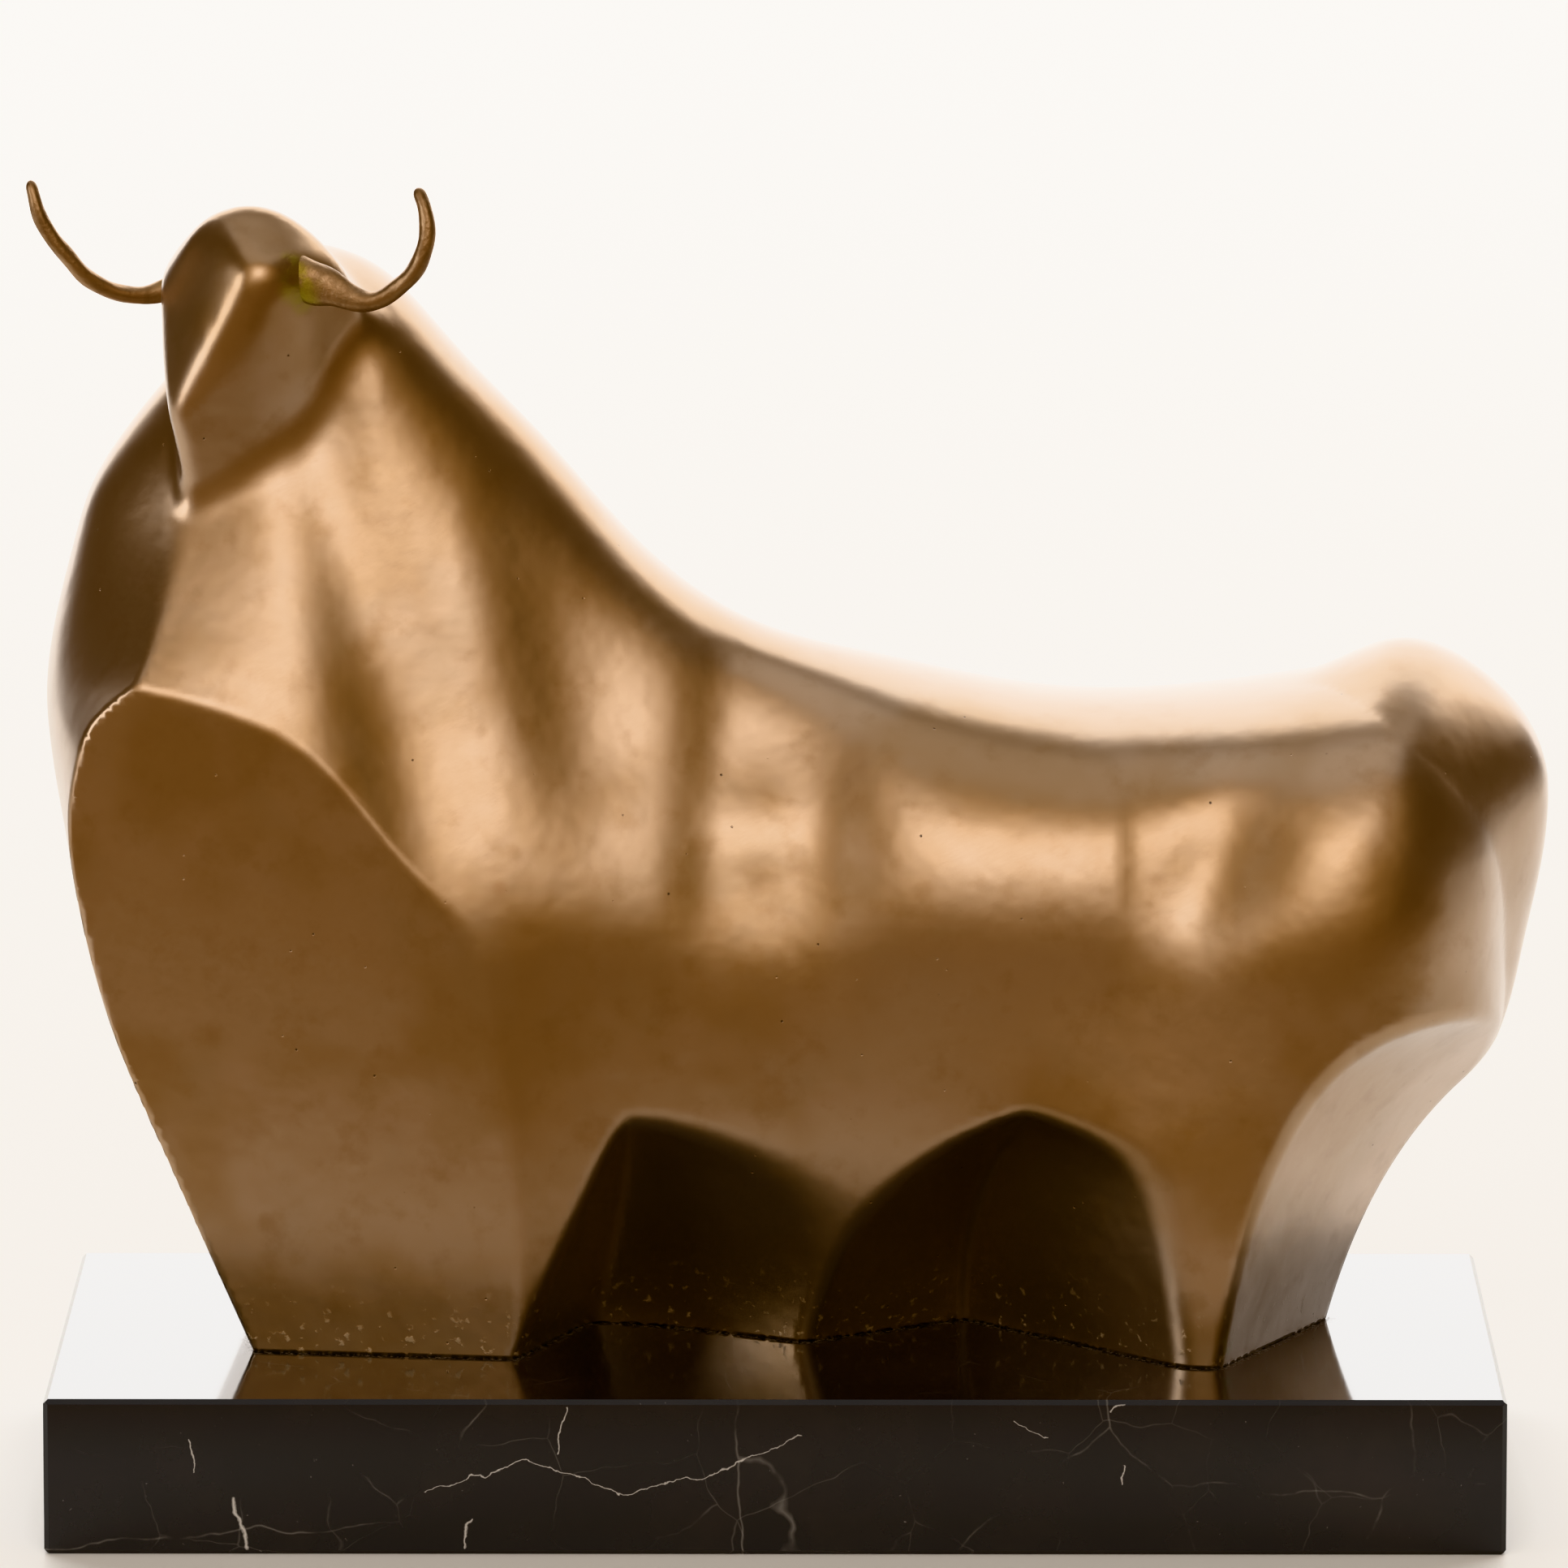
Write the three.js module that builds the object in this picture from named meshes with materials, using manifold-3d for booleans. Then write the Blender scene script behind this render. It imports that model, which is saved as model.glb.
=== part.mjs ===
// Abstract bronze bull with two brazed horns, standing on a black marble slab.
// Millimetres, +Z up. The bull looks to -X with its head turned to -Y.
// The origin is the centre of the slab's underside.

import * as THREE from 'three';
import { mergeVertices } from 'three/addons/utils/BufferGeometryUtils.js';
import Module from 'manifold-3d';

// Slab
const SLAB_LENGTH = 370;
const SLAB_DEPTH = 185;
const SLAB_HEIGHT = 40;
const SLAB_BEVEL = 1.2;

// Bull
const CENTRE_Y = 8; // the bull's long middle plane
const BACK_ROUNDING = 36; // how far the back's rounding reaches down the flanks
const RUMP_ROUNDING = 28; // the same for the rump, above the hind legs
const HIND_LEG_ROUNDING = 6; // and between the hind legs
const RUMP_HEIGHT = 112; // where the hind legs end and the rump begins
const RUMP_BLEND = 9; // over this height the one goes over into the other
const OUTLINE_BLEND = 1.1; // how softly back and rump run together
const EDGES = { shoulder: 0.9, haunch: 3, hollow: 3, hollowFront: 9, hollowRear: 4, chest: 1.2 }; // softness
const NEAR_HOLLOW_1 = 5; // what is left between middle plane and hollow at the ground
const NEAR_HOLLOW_2 = 1;
const FAR_HOLLOW = 30;
const BRAZE_GAP = 0.3; // between a horn and the head
const BODY_CELL = 5.5; // facets of the body before the flat ones are joined
const HEAD_CELL = 2.4;
const FACET_TOLERANCE = 0.42;

// Natural cubic curve through knots, straight beyond them: t -> [value, slope].
function curve(knots, values) {
  const n = knots.length;
  const gap = knots.slice(1).map((k, i) => k - knots[i]);
  const rise = gap.map((g, i) => (values[i + 1] - values[i]) / g);
  const bend = new Array(n).fill(0);
  const upper = new Array(n).fill(0);
  for (let i = 1; i < n - 1; i++) {
    const pivot = 2 * (gap[i - 1] + gap[i]) - gap[i - 1] * upper[i - 1];
    upper[i] = gap[i] / pivot;
    bend[i] = (6 * (rise[i] - rise[i - 1]) - gap[i - 1] * bend[i - 1]) / pivot;
  }
  for (let i = n - 2; i > 0; i--) {
    bend[i] -= upper[i] * bend[i + 1];
  }
  return (t) => {
    const u = Math.min(Math.max(t, knots[0]), knots[n - 1]);
    let i = 0;
    while (i < n - 2 && u > knots[i + 1]) i++;
    const a = knots[i + 1] - u;
    const c = u - knots[i];
    const g = gap[i];
    const left = values[i] / g - (bend[i] * g) / 6;
    const right = values[i + 1] / g - (bend[i + 1] * g) / 6;
    const value = (bend[i] * a ** 3 + bend[i + 1] * c ** 3) / (6 * g) + left * a + right * c;
    const slope = (-3 * bend[i] * a * a + 3 * bend[i + 1] * c * c) / (6 * g) - left + right;
    return [value + slope * (t - u), slope];
  };
}

const clamp = (v, low, high) => Math.min(Math.max(v, low), high);

// Lesser of two values, rounded off over k where they cross.
function softMin(a, b, k) {
  const h = clamp(0.5 + (0.5 * (b - a)) / k, 0, 1);
  return b + (a - b) * h - k * h * (1 - h);
}

const softMax = (a, b, k) => -softMin(-a, -b, k);

// Side outline: height of the back over x, and x of rump and chest over height.
const BACK_X = [-118, -100, -83, -59, -36, -10, 25, 70, 100, 135, 152, 166, 176, 186];
const BACK_Z = [
  321.5, 313.8, 295.6, 270.3, 244.6, 225.2, 214.6, 206, 205.6, 209.5, 211.8, 211.8, 208.3, 200.5,
];
const back = curve(BACK_X, BACK_Z);

const RUMP_Z = [38, 48, 61, 73, 86, 99, 112, 125, 140, 160, 180, 200, 215];
const RUMP_X = [145.9, 147.7, 152.3, 158.9, 167.8, 177.5, 184.8, 188.2, 188.8, 189.5, 187.4, 180, 170];
const rump = curve(RUMP_Z, RUMP_X);

const CHEST_Z = [40, 64, 90, 115, 140, 166, 184, 195, 205, 215, 228, 247, 260, 272, 285, 300, 313, 325];
const CHEST_X = [
  -134.5, -145, -156, -166.4, -174.6, -181.3, -185.6, -187.3, -188,
  -187.3, -184.9, -180, -175.6, -168.2, -158, -144, -128, -110,
];
const chest = curve(CHEST_Z, CHEST_X);

// How far the chest's edge lies behind its middle, at EDGE_WIDTH from the middle plane.
const EDGE_WIDTH = 45;
const chestSweep = curve(
  [100, 150, 177, 194, 205, 215, 238, 257, 285, 320],
  [0, 0.5, 3.5, 8, 12, 19, 38, 58, 68, 70],
);

// Half widths of the body: one row for each height, one value for each station along x.
const STATIONS = [-150, -110, -75, -40, 0, 45, 90, 120, 150, 185];
const STATION_RANGE = [-175, 200]; // beyond it the widths stay as they are
const HALF_WIDTHS = {
  40: [62, 60, 54, 42, 32, 40, 57, 62, 50, 24],
  95: [68, 65, 57, 49, 46, 50, 60, 64, 60, 44],
  140: [69, 65, 59, 54, 52, 54.5, 59, 64.5, 65, 59],
  164: [66, 64, 62.5, 59, 57, 58.5, 62.5, 67, 67, 64],
  200: [58, 56, 56, 57, 60, 63, 69, 75, 77, 72],
  255: [31, 42, 49, 54, 59, 64, 70, 76, 78, 72],
  310: [20, 31, 39, 45, 49, 52, 54, 55, 56, 44],
};
const HEIGHTS = Object.keys(HALF_WIDTHS).map(Number);
const widthOverHeight = STATIONS.map((_, s) => curve(HEIGHTS, HEIGHTS.map((h) => HALF_WIDTHS[h][s])));
const shareOfStation = STATIONS.map((_, s) => curve(STATIONS, STATIONS.map((_, i) => (i === s ? 1 : 0))));

// Steps in the body's width, from front to rear: where each is at height z, how long it is, how much it
// adds, and the heights between which it is there.
const STEPS = [
  { name: 'behind the chest plate', x: -112, z: 225, lean: -0.24, reach: 5.5, height: -9.5, low: 156, high: 292 },
  { name: 'behind the neck', x: -64, z: 220, lean: -0.25, reach: 6, height: -10, low: 186, high: 300 },
  { name: 'behind the shoulder', x: -21, z: 185, lean: 0.04, reach: 4.5, height: -8, low: 156, high: 225 },
  { name: 'before the belly', x: 19, z: 180, lean: 0, reach: 7.5, height: 14, low: 152, high: 225 },
  { name: 'behind the belly', x: 89, z: 178, lean: 0, reach: 2, height: -3, low: 155, high: 205 },
];
const STEP_FADE = 9; // height over which a step comes and goes

// Gentle swellings and hollows of the flank: centre, turn of the long axis from level, reaches and height.
const SWELLINGS = [
  { name: 'front of belly', x: -5, z: 176, turn: 0, long: 14, wide: 15, height: 2.5 },
  { name: 'flank', x: 113, z: 170, turn: THREE.MathUtils.degToRad(60), long: 22, wide: 13, height: -4.2 },
  { name: 'hip', x: 147, z: 168, turn: 0, long: 24, wide: 26, height: 4 },
];

// Smooth step from 0 to 1 around t = 0.
const sCurve = (t) => 1 / (1 + Math.exp(-t));

function halfWidth(x, z) {
  const u = clamp(x, STATION_RANGE[0], STATION_RANGE[1]);
  let width = 0;
  STATIONS.forEach((_, s) => {
    width += shareOfStation[s](u)[0] * widthOverHeight[s](z)[0];
  });
  for (const s of STEPS) {
    const there = sCurve((z - s.low) / STEP_FADE) * sCurve((s.high - z) / STEP_FADE);
    width += s.height * there * sCurve((x - s.x - s.lean * (z - s.z)) / s.reach);
  }
  for (const s of SWELLINGS) {
    const along = (x - s.x) * Math.cos(s.turn) + (z - s.z) * Math.sin(s.turn);
    const across = (z - s.z) * Math.cos(s.turn) - (x - s.x) * Math.sin(s.turn);
    width += s.height * Math.exp(-((along / s.long) ** 2) - (across / s.wide) ** 2);
  }
  return width;
}

// Tail: a raised band around the rump, over the angle seen from the hip in degrees.
const TAIL_CENTRE = { x: 140, z: 165 };
const TAIL_ANGLES = [-60, -44, -30, -10, 10, 35, 55, 75, 92, 105];
const tailRise = curve(TAIL_ANGLES, [0, 0.8, 3, 5.5, 7.5, 8.5, 7, 4.5, 0.5, 0]);
const tailHalfWidth = curve(TAIL_ANGLES, [3, 9, 18, 28, 35, 43, 44, 33, 14, 7]);
const TAIL_FADE = 1.5; // how softly it runs out at its edge

function tail(x, z, width) {
  const angle = THREE.MathUtils.radToDeg(Math.atan2(z - TAIL_CENTRE.z, x - TAIL_CENTRE.x));
  if (angle < TAIL_ANGLES[0] || angle > TAIL_ANGLES.at(-1)) return 0;
  const half = Math.max(tailHalfWidth(angle)[0], 3);
  return Math.max(tailRise(angle)[0], 0) * clamp(1 - (width / half) ** 2, 0, 1) ** TAIL_FADE;
}

// Above its arch a hollow leaves the body: this grows steeply from there.
const ARCH = { softness: 6, steepness: 2.5, front: 76, rear: 66, haunch: 93 };

function overArch(up, arch) {
  const past = (up - arch) / ARCH.softness;
  return ARCH.steepness * ARCH.softness * Math.log1p(Math.exp(past));
}

// Flat cuts of the lower body. Each gives a half width over x and the height above the slab.
const SHOULDER_CUT = { x: -134, halfWidth: 42, perX: 0.133, perUp: 0.077 };
const HAUNCH_CUT = {
  x: 119, halfWidth: 50, turn: 2.1, turnPerUp: -0.0075, turnPerUp2: -0.00006, leastTurn: 0.3, perUp: 0.4,
  perUp2: 0.0015,
};

function shoulderCut(x, z) {
  const cut = SHOULDER_CUT;
  return cut.halfWidth + cut.perX * (x - cut.x) + cut.perUp * (z - SLAB_HEIGHT);
}

// Twisted flat face behind the hind leg: it turns less across the body the higher it is.
function haunchCut(x, z) {
  const cut = HAUNCH_CUT;
  const up = z - SLAB_HEIGHT;
  const turn = Math.max(cut.turn + cut.turnPerUp * up + cut.turnPerUp2 * up * up, cut.leastTurn);
  const left = cut.halfWidth + cut.perUp * up + cut.perUp2 * up * up;
  return left - (x - cut.x) * turn + overArch(up, ARCH.haunch);
}

// Hollow behind the foreleg: a steep wall in front, and a bowl that turns outwards behind BOWL.x.
const FORELEG_WALL = { x: -66.5, halfWidth: 51, perX: -2.6, perUp: 1.1 };
const BOWL = {
  x: -36, turn: 0.3, rounding: 12, inset: 0.9, leanX: -24, leanFrom: -60, leanTo: 25, lean: 0.3,
  leanPerX: -0.006, perUp2: 0.0045,
};

function frontHollow(x, z, left) {
  const up = z - SLAB_HEIGHT;
  const wall = FORELEG_WALL;
  const front = wall.halfWidth + wall.perX * (x - wall.x) + wall.perUp * up;
  const behind = x - BOWL.x;
  const bowl = BOWL.turn * (behind + Math.hypot(behind, BOWL.rounding)) - BOWL.inset;
  const lean = BOWL.lean + BOWL.leanPerX * (clamp(x, BOWL.leanFrom, BOWL.leanTo) - BOWL.leanX);
  const rear = left + bowl + lean * up + BOWL.perUp2 * up * up;
  return softMax(front, rear, EDGES.hollowFront) + overArch(up, ARCH.front);
}

// Hollow before the hind leg: two leaning walls that meet in a crease on the ground at CREASE.x.
const CREASE = { x: 49, leanX: 71, lean: 0.37, leanPerX: -0.0082, leastLean: 0.05, mostLean: 0.6 };
const RIDGE = { x: 5.8, halfWidth: 31, perUp: 0.45, perUp2: 0.006 }; // between the two hollows
const HIND_TOE = { x: 110, halfWidth: 68 };

function rearHollow(x, z, left) {
  const up = z - SLAB_HEIGHT;
  const fall = (RIDGE.halfWidth - left) / (CREASE.x - RIDGE.x);
  const front = RIDGE.halfWidth - fall * (x - RIDGE.x) + RIDGE.perUp * up + RIDGE.perUp2 * up * up;
  const rise = (HIND_TOE.halfWidth - left) / (HIND_TOE.x - CREASE.x);
  const lean = clamp(CREASE.lean + CREASE.leanPerX * (x - CREASE.leanX), CREASE.leastLean, CREASE.mostLean);
  const rear = left + rise * (x - CREASE.x) + lean * up;
  return softMax(front, rear, EDGES.hollowRear) + overArch(up, ARCH.rear);
}

// Where the outline's curves are used; beyond it they stay as they are.
const BACK_RANGE = [-125, 200];
const RUMP_RANGE = [38, 225];
const CHEST_RANGE = [30, 330];
const SWEEP_RANGE = [60, 330];

// Distance outside a wall given as a half width over x and z.
function outsideWall(wall, x, z, width) {
  const e = 0.5;
  const dx = (wall(x + e, z) - wall(x - e, z)) / (2 * e);
  const dz = (wall(x, z + e) - wall(x, z - e)) / (2 * e);
  return (width - wall(x, z)) / Math.hypot(1, dx, dz);
}

// Body, neck and legs. Negative inside, in about millimetres.
function trunk(x, y, z) {
  const width = Math.abs(y - CENTRE_Y);
  const near = y < CENTRE_Y;
  const half = halfWidth(x, z);

  const [backZ, backSlope] = back(clamp(x, BACK_RANGE[0], BACK_RANGE[1]));
  const [rumpX, rumpSlope] = rump(clamp(z, RUMP_RANGE[0], RUMP_RANGE[1]));
  const rearRounding = HIND_LEG_ROUNDING
    + (RUMP_ROUNDING - HIND_LEG_ROUNDING) / (1 + Math.exp((RUMP_HEIGHT - z) / RUMP_BLEND));
  const belowBack = (2 * (backZ - z)) / Math.hypot(1, backSlope) / BACK_ROUNDING;
  const insideRump = (2 * (rumpX - x)) / Math.hypot(1, rumpSlope) / rearRounding;
  const depth = softMin(belowBack, insideRump, OUTLINE_BLEND);
  const rumpShare = clamp(0.5 + (0.5 * (belowBack - insideRump)) / OUTLINE_BLEND, 0, 1);
  const rounding = BACK_ROUNDING + (rearRounding - BACK_ROUNDING) * rumpShare;

  const fullness = 1 - Math.exp(-clamp(depth, -3, 50));
  const steep = Math.hypot(
    (2 * width) / half ** 2,
    (2 / rounding) * Math.exp(-clamp(depth, -1, 50)),
    0.001,
  );
  let outside = ((width / half) ** 2 - fullness) / steep - tail(x, z, width);

  outside = softMax(outside, outsideWall(shoulderCut, x, z, width), EDGES.shoulder);
  outside = softMax(outside, outsideWall(haunchCut, x, z, width), EDGES.haunch);
  const first = (u, v) => frontHollow(u, v, near ? NEAR_HOLLOW_1 : FAR_HOLLOW);
  const second = (u, v) => rearHollow(u, v, near ? NEAR_HOLLOW_2 : FAR_HOLLOW);
  outside = softMax(outside, outsideWall(first, x, z, width), EDGES.hollow);
  outside = softMax(outside, outsideWall(second, x, z, width), EDGES.hollow);

  const [chestX, chestSlope] = chest(clamp(z, CHEST_RANGE[0], CHEST_RANGE[1]));
  const sweep = chestSweep(clamp(z, SWEEP_RANGE[0], SWEEP_RANGE[1]))[0];
  const swept = chestX + sweep * (width / EDGE_WIDTH) ** 2;
  const front = (swept - x) / Math.hypot(1, chestSlope, (2 * sweep * width) / EDGE_WIDTH ** 2);
  return softMax(outside, front, EDGES.chest);
}

// Head: level slices are part ellipses from the far outline to the ridge; crown, cheek and jaw are cut off.
const headOutline = curve(
  [244, 256, 270, 285, 299, 310, 320, 336],
  [-146, -150, -152.3, -155, -156.4, -157, -158, -160],
);
const ridgeDepth = curve([240, 254, 262, 270, 282, 300, 318, 336], [-16, -23, -26, -28.6, -32, -37, -42, -47]);
const MUZZLE = { top: 282, width: 4, depth: 4, widens: 0.79, deepens: 0.75, softness: 3 };
const SLICE = { outlineAngle: THREE.MathUtils.degToRad(42), ridgeAngle: THREE.MathUtils.degToRad(77), edge: 1.5 };
const FAR_SIDE = { width: 30, depth: 42 };
const CROWN = {
  x: -134, y: -21, z: 334.5, curveX: 18, slopeFront: 0.85, slopeBack: 0.35, edge: 2, softness: 5,
};
const CHEEK = { x: -151, y: -32.5, z: 282, faces: new THREE.Vector3(0.174, -0.985, -0.37).normalize() };
const JAW_SIDE = { x: -124.6, y: -24, z: 277.4, faces: new THREE.Vector3(0.643, -0.766, -0.248).normalize() };
const CHEEK_SOFTNESS = 3;
const JAW_SOFTNESS = 9;
const HEAD_BOX = { x: -127, y: -15, z: 291, halfX: 39, halfY: 51, halfZ: 49 };

function beyondPlane(x, y, z, plane) {
  return (x - plane.x) * plane.faces.x + (y - plane.y) * plane.faces.y + (z - plane.z) * plane.faces.z;
}

function outsideEllipse(across, along, halfAcross, halfAlong) {
  const size = Math.hypot(across / halfAcross, along / halfAlong);
  const steep = Math.hypot(across / halfAcross ** 2, along / halfAlong ** 2);
  return steep < 1e-6 ? -halfAcross : (size * (size - 1)) / steep;
}

// Distance outside the slices. Each is part of an ellipse up to its middle and level beyond, and a second
// ellipse closes it behind. Below the muzzle's top they stay narrow, above it they widen in straight lines.
function forehead(x, y, z) {
  const over = z - MUZZLE.top;
  const width = MUZZLE.width + softMax(MUZZLE.widens * over, 0, MUZZLE.softness);
  const depth = MUZZLE.depth + softMax(MUZZLE.deepens * over, 0, MUZZLE.softness);
  const halfX = width / (Math.cos(SLICE.outlineAngle) - Math.cos(SLICE.ridgeAngle));
  const halfY = depth / (Math.sin(SLICE.ridgeAngle) - Math.sin(SLICE.outlineAngle));
  const fromOutline = x - headOutline(z)[0];
  const fromRidge = y - ridgeDepth(z)[0];
  const across = Math.min(fromOutline - halfX * Math.cos(SLICE.outlineAngle), 0);
  const along = Math.min(fromRidge - halfY * Math.sin(SLICE.ridgeAngle), 0);
  const face = outsideEllipse(across, along, halfX, halfY);
  const farAcross = Math.min(fromOutline - FAR_SIDE.width, 0);
  const farSide = outsideEllipse(farAcross, Math.max(fromRidge - depth, 0), FAR_SIDE.width, FAR_SIDE.depth);
  return softMax(face, farSide, SLICE.edge);
}

// Distance above the crown: rounded across, and along it a roof with a rounded top.
function overCrown(x, y, z) {
  const across = (x - CROWN.x) / CROWN.curveX;
  const along = y - CROWN.y;
  const mean = (CROWN.slopeFront + CROWN.slopeBack) / 2;
  const lean = CROWN.slopeBack - mean;
  const edge = Math.hypot(along, CROWN.edge);
  const height = z - CROWN.z + (CROWN.curveX * across ** 2) / 2 + mean * (edge - CROWN.edge) + lean * along;
  return height / Math.hypot(1, across, (mean * along) / edge + lean);
}

const outsideBox = (x, y, z, box) => Math.max(
  Math.abs(x - box.x) - box.halfX,
  Math.abs(y - box.y) - box.halfY,
  Math.abs(z - box.z) - box.halfZ,
);

function head(x, y, z) {
  const whole = softMax(forehead(x, y, z), overCrown(x, y, z), CROWN.softness);
  const near = softMax(beyondPlane(x, y, z, CHEEK), beyondPlane(x, y, z, JAW_SIDE), JAW_SOFTNESS);
  return Math.max(softMax(whole, near, CHEEK_SOFTNESS), outsideBox(x, y, z, HEAD_BOX));
}

const bull = (x, y, z) => Math.min(trunk(x, y, z), head(x, y, z));

// One step of p towards the surface, level only if asked.
function stepToSurface(field, p, level) {
  const e = 0.05;
  const value = field(...p);
  const slope = [0, 1, 2].map((axis) => {
    if (level && axis === 2) return 0;
    const ahead = [...p];
    const behind = [...p];
    ahead[axis] += e;
    behind[axis] -= e;
    return (field(...ahead) - field(...behind)) / (2 * e);
  });
  const steep2 = slope[0] ** 2 + slope[1] ** 2 + slope[2] ** 2 + 1e-3;
  const step = slope.map((s) => (value * s) / steep2);
  const scale = Math.min(1, 2 / Math.max(Math.hypot(...step), 1e-9));
  return p.map((v, i) => v - step[i] * scale);
}

// Closed mesh of the space where field is negative above z = ground: a point in each cell that the
// surface passes, four-sided faces between neighbouring points, and the points then moved onto the
// surface. The lowest layer of cells becomes the flat sole.
function meshOf(field, low, high, cell, ground) {
  const count = [0, 1, 2].map((i) => Math.ceil((high[i] - low[i]) / cell) + 1);
  const start = [low[0], low[1], ground - 2 * cell];
  count[2] = Math.ceil((high[2] - start[2]) / cell) + 1;
  const place = (i, j, k) => (i * count[1] + j) * count[2] + k;
  const values = new Float64Array(count[0] * count[1] * count[2]);
  for (let i = 0; i < count[0]; i++) {
    for (let j = 0; j < count[1]; j++) {
      for (let k = 0; k < count[2]; k++) {
        const z = start[2] + k * cell;
        const below = z < ground - cell / 2;
        values[place(i, j, k)] = below ? 1 : field(start[0] + i * cell, start[1] + j * cell, z);
      }
    }
  }

  const pointOf = new Map();
  const points = [];
  const corners = [0, 1, 2, 3, 4, 5, 6, 7].map((c) => [c >> 2, (c >> 1) & 1, c & 1]);
  for (let i = 0; i < count[0] - 1; i++) {
    for (let j = 0; j < count[1] - 1; j++) {
      for (let k = 0; k < count[2] - 1; k++) {
        const sum = [0, 0, 0];
        let crossings = 0;
        for (const c of corners) {
          for (let axis = 0; axis < 3; axis++) {
            if (c[axis]) continue;
            const d = [...c];
            d[axis] = 1;
            const v0 = values[place(i + c[0], j + c[1], k + c[2])];
            const v1 = values[place(i + d[0], j + d[1], k + d[2])];
            if (v0 < 0 === v1 < 0) continue;
            const t = v0 / (v0 - v1);
            for (let a = 0; a < 3; a++) sum[a] += c[a] + t * (d[a] - c[a]);
            crossings++;
          }
        }
        if (!crossings) continue;
        const cellAt = [i, j, k];
        pointOf.set(place(i, j, k), points.length);
        points.push(sum.map((s, a) => start[a] + cell * (cellAt[a] + s / crossings)));
      }
    }
  }

  const quads = [];
  for (let i = 1; i < count[0] - 1; i++) {
    for (let j = 1; j < count[1] - 1; j++) {
      for (let k = 1; k < count[2] - 1; k++) {
        for (let axis = 0; axis < 3; axis++) {
          const here = [i, j, k];
          const next = [...here];
          next[axis] += 1;
          const inside = values[place(...here)] < 0;
          if (inside === values[place(...next)] < 0) continue;
          const b = (axis + 1) % 3;
          const c = (axis + 2) % 3;
          const around = [[1, 1], [0, 1], [0, 0], [1, 0]].map(([db, dc]) => {
            const q = [...here];
            q[b] -= db;
            q[c] -= dc;
            return pointOf.get(place(...q));
          });
          quads.push(inside ? around : around.reverse());
        }
      }
    }
  }

  const isSole = points.map((p) => p[2] < ground);
  const isRim = points.map(() => false);
  for (const quad of quads) {
    if (quad.some((q) => !isSole[q])) {
      quad.filter((q) => isSole[q]).forEach((q) => { isRim[q] = true; });
    }
  }
  points.forEach((p, i) => {
    let moved = isSole[i] ? [p[0], p[1], ground] : p;
    const steps = isSole[i] && !isRim[i] ? 0 : 8;
    for (let s = 0; s < steps; s++) moved = stepToSurface(field, moved, isSole[i]);
    if (!isSole[i]) moved[2] = Math.max(moved[2], ground + 0.5);
    points[i] = moved;
  });

  const apart = (a, b) => Math.hypot(...points[a].map((v, i) => v - points[b][i]));
  const index = quads.flatMap(([a, b, c, d]) => (
    apart(a, c) < apart(b, d) ? [a, b, c, a, c, d] : [a, b, d, b, c, d]
  ));
  const geometry = new THREE.BufferGeometry();
  geometry.setAttribute('position', new THREE.Float32BufferAttribute(points.flat(), 3));
  geometry.setIndex(index);
  return geometry;
}

// Horns: centre line, radius and how flat the section is from front to back, root to tip.
const HORN_RINGS = 22;
const HORN_SIDES = 10;
const TIP_ROUNDING = 0.03; // share of the length that closes the tip

const NEAR_HORN = [
  { x: -125, y: -27.5, z: 317.5, radius: 6.2, flat: 0.6 },
  { x: -117, y: -30, z: 316.2, radius: 5.6, flat: 0.6 },
  { x: -109.5, y: -32.5, z: 313.6, radius: 3.8, flat: 0.7 },
  { x: -103, y: -34.5, z: 312, radius: 2.6, flat: 0.9 },
  { x: -97.3, y: -36, z: 314.6, radius: 2.3, flat: 1 },
  { x: -91.9, y: -38, z: 319.6, radius: 2.3, flat: 1 },
  { x: -88.6, y: -38.5, z: 327, radius: 2.2, flat: 1 },
  { x: -88.2, y: -38, z: 333.5, radius: 2, flat: 1 },
  { x: -90.8, y: -36, z: 341.2, radius: 1.5, flat: 1 },
];

const FAR_HORN = [
  { x: -145, y: -3, z: 311.5, radius: 4.2, flat: 0.8 },
  { x: -153, y: -4, z: 311.4, radius: 3.4, flat: 0.8 },
  { x: -161.5, y: -6, z: 309.9, radius: 2.4, flat: 0.9 },
  { x: -168.5, y: -9, z: 311, radius: 2.2, flat: 1 },
  { x: -175.5, y: -12, z: 315, radius: 2.2, flat: 1 },
  { x: -181, y: -14, z: 321.3, radius: 2.1, flat: 1 },
  { x: -186, y: -15, z: 328.2, radius: 2, flat: 1 },
  { x: -188.5, y: -15, z: 334.5, radius: 1.8, flat: 1 },
  { x: -190, y: -14, z: 340.4, radius: 1.3, flat: 1 },
];

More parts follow.
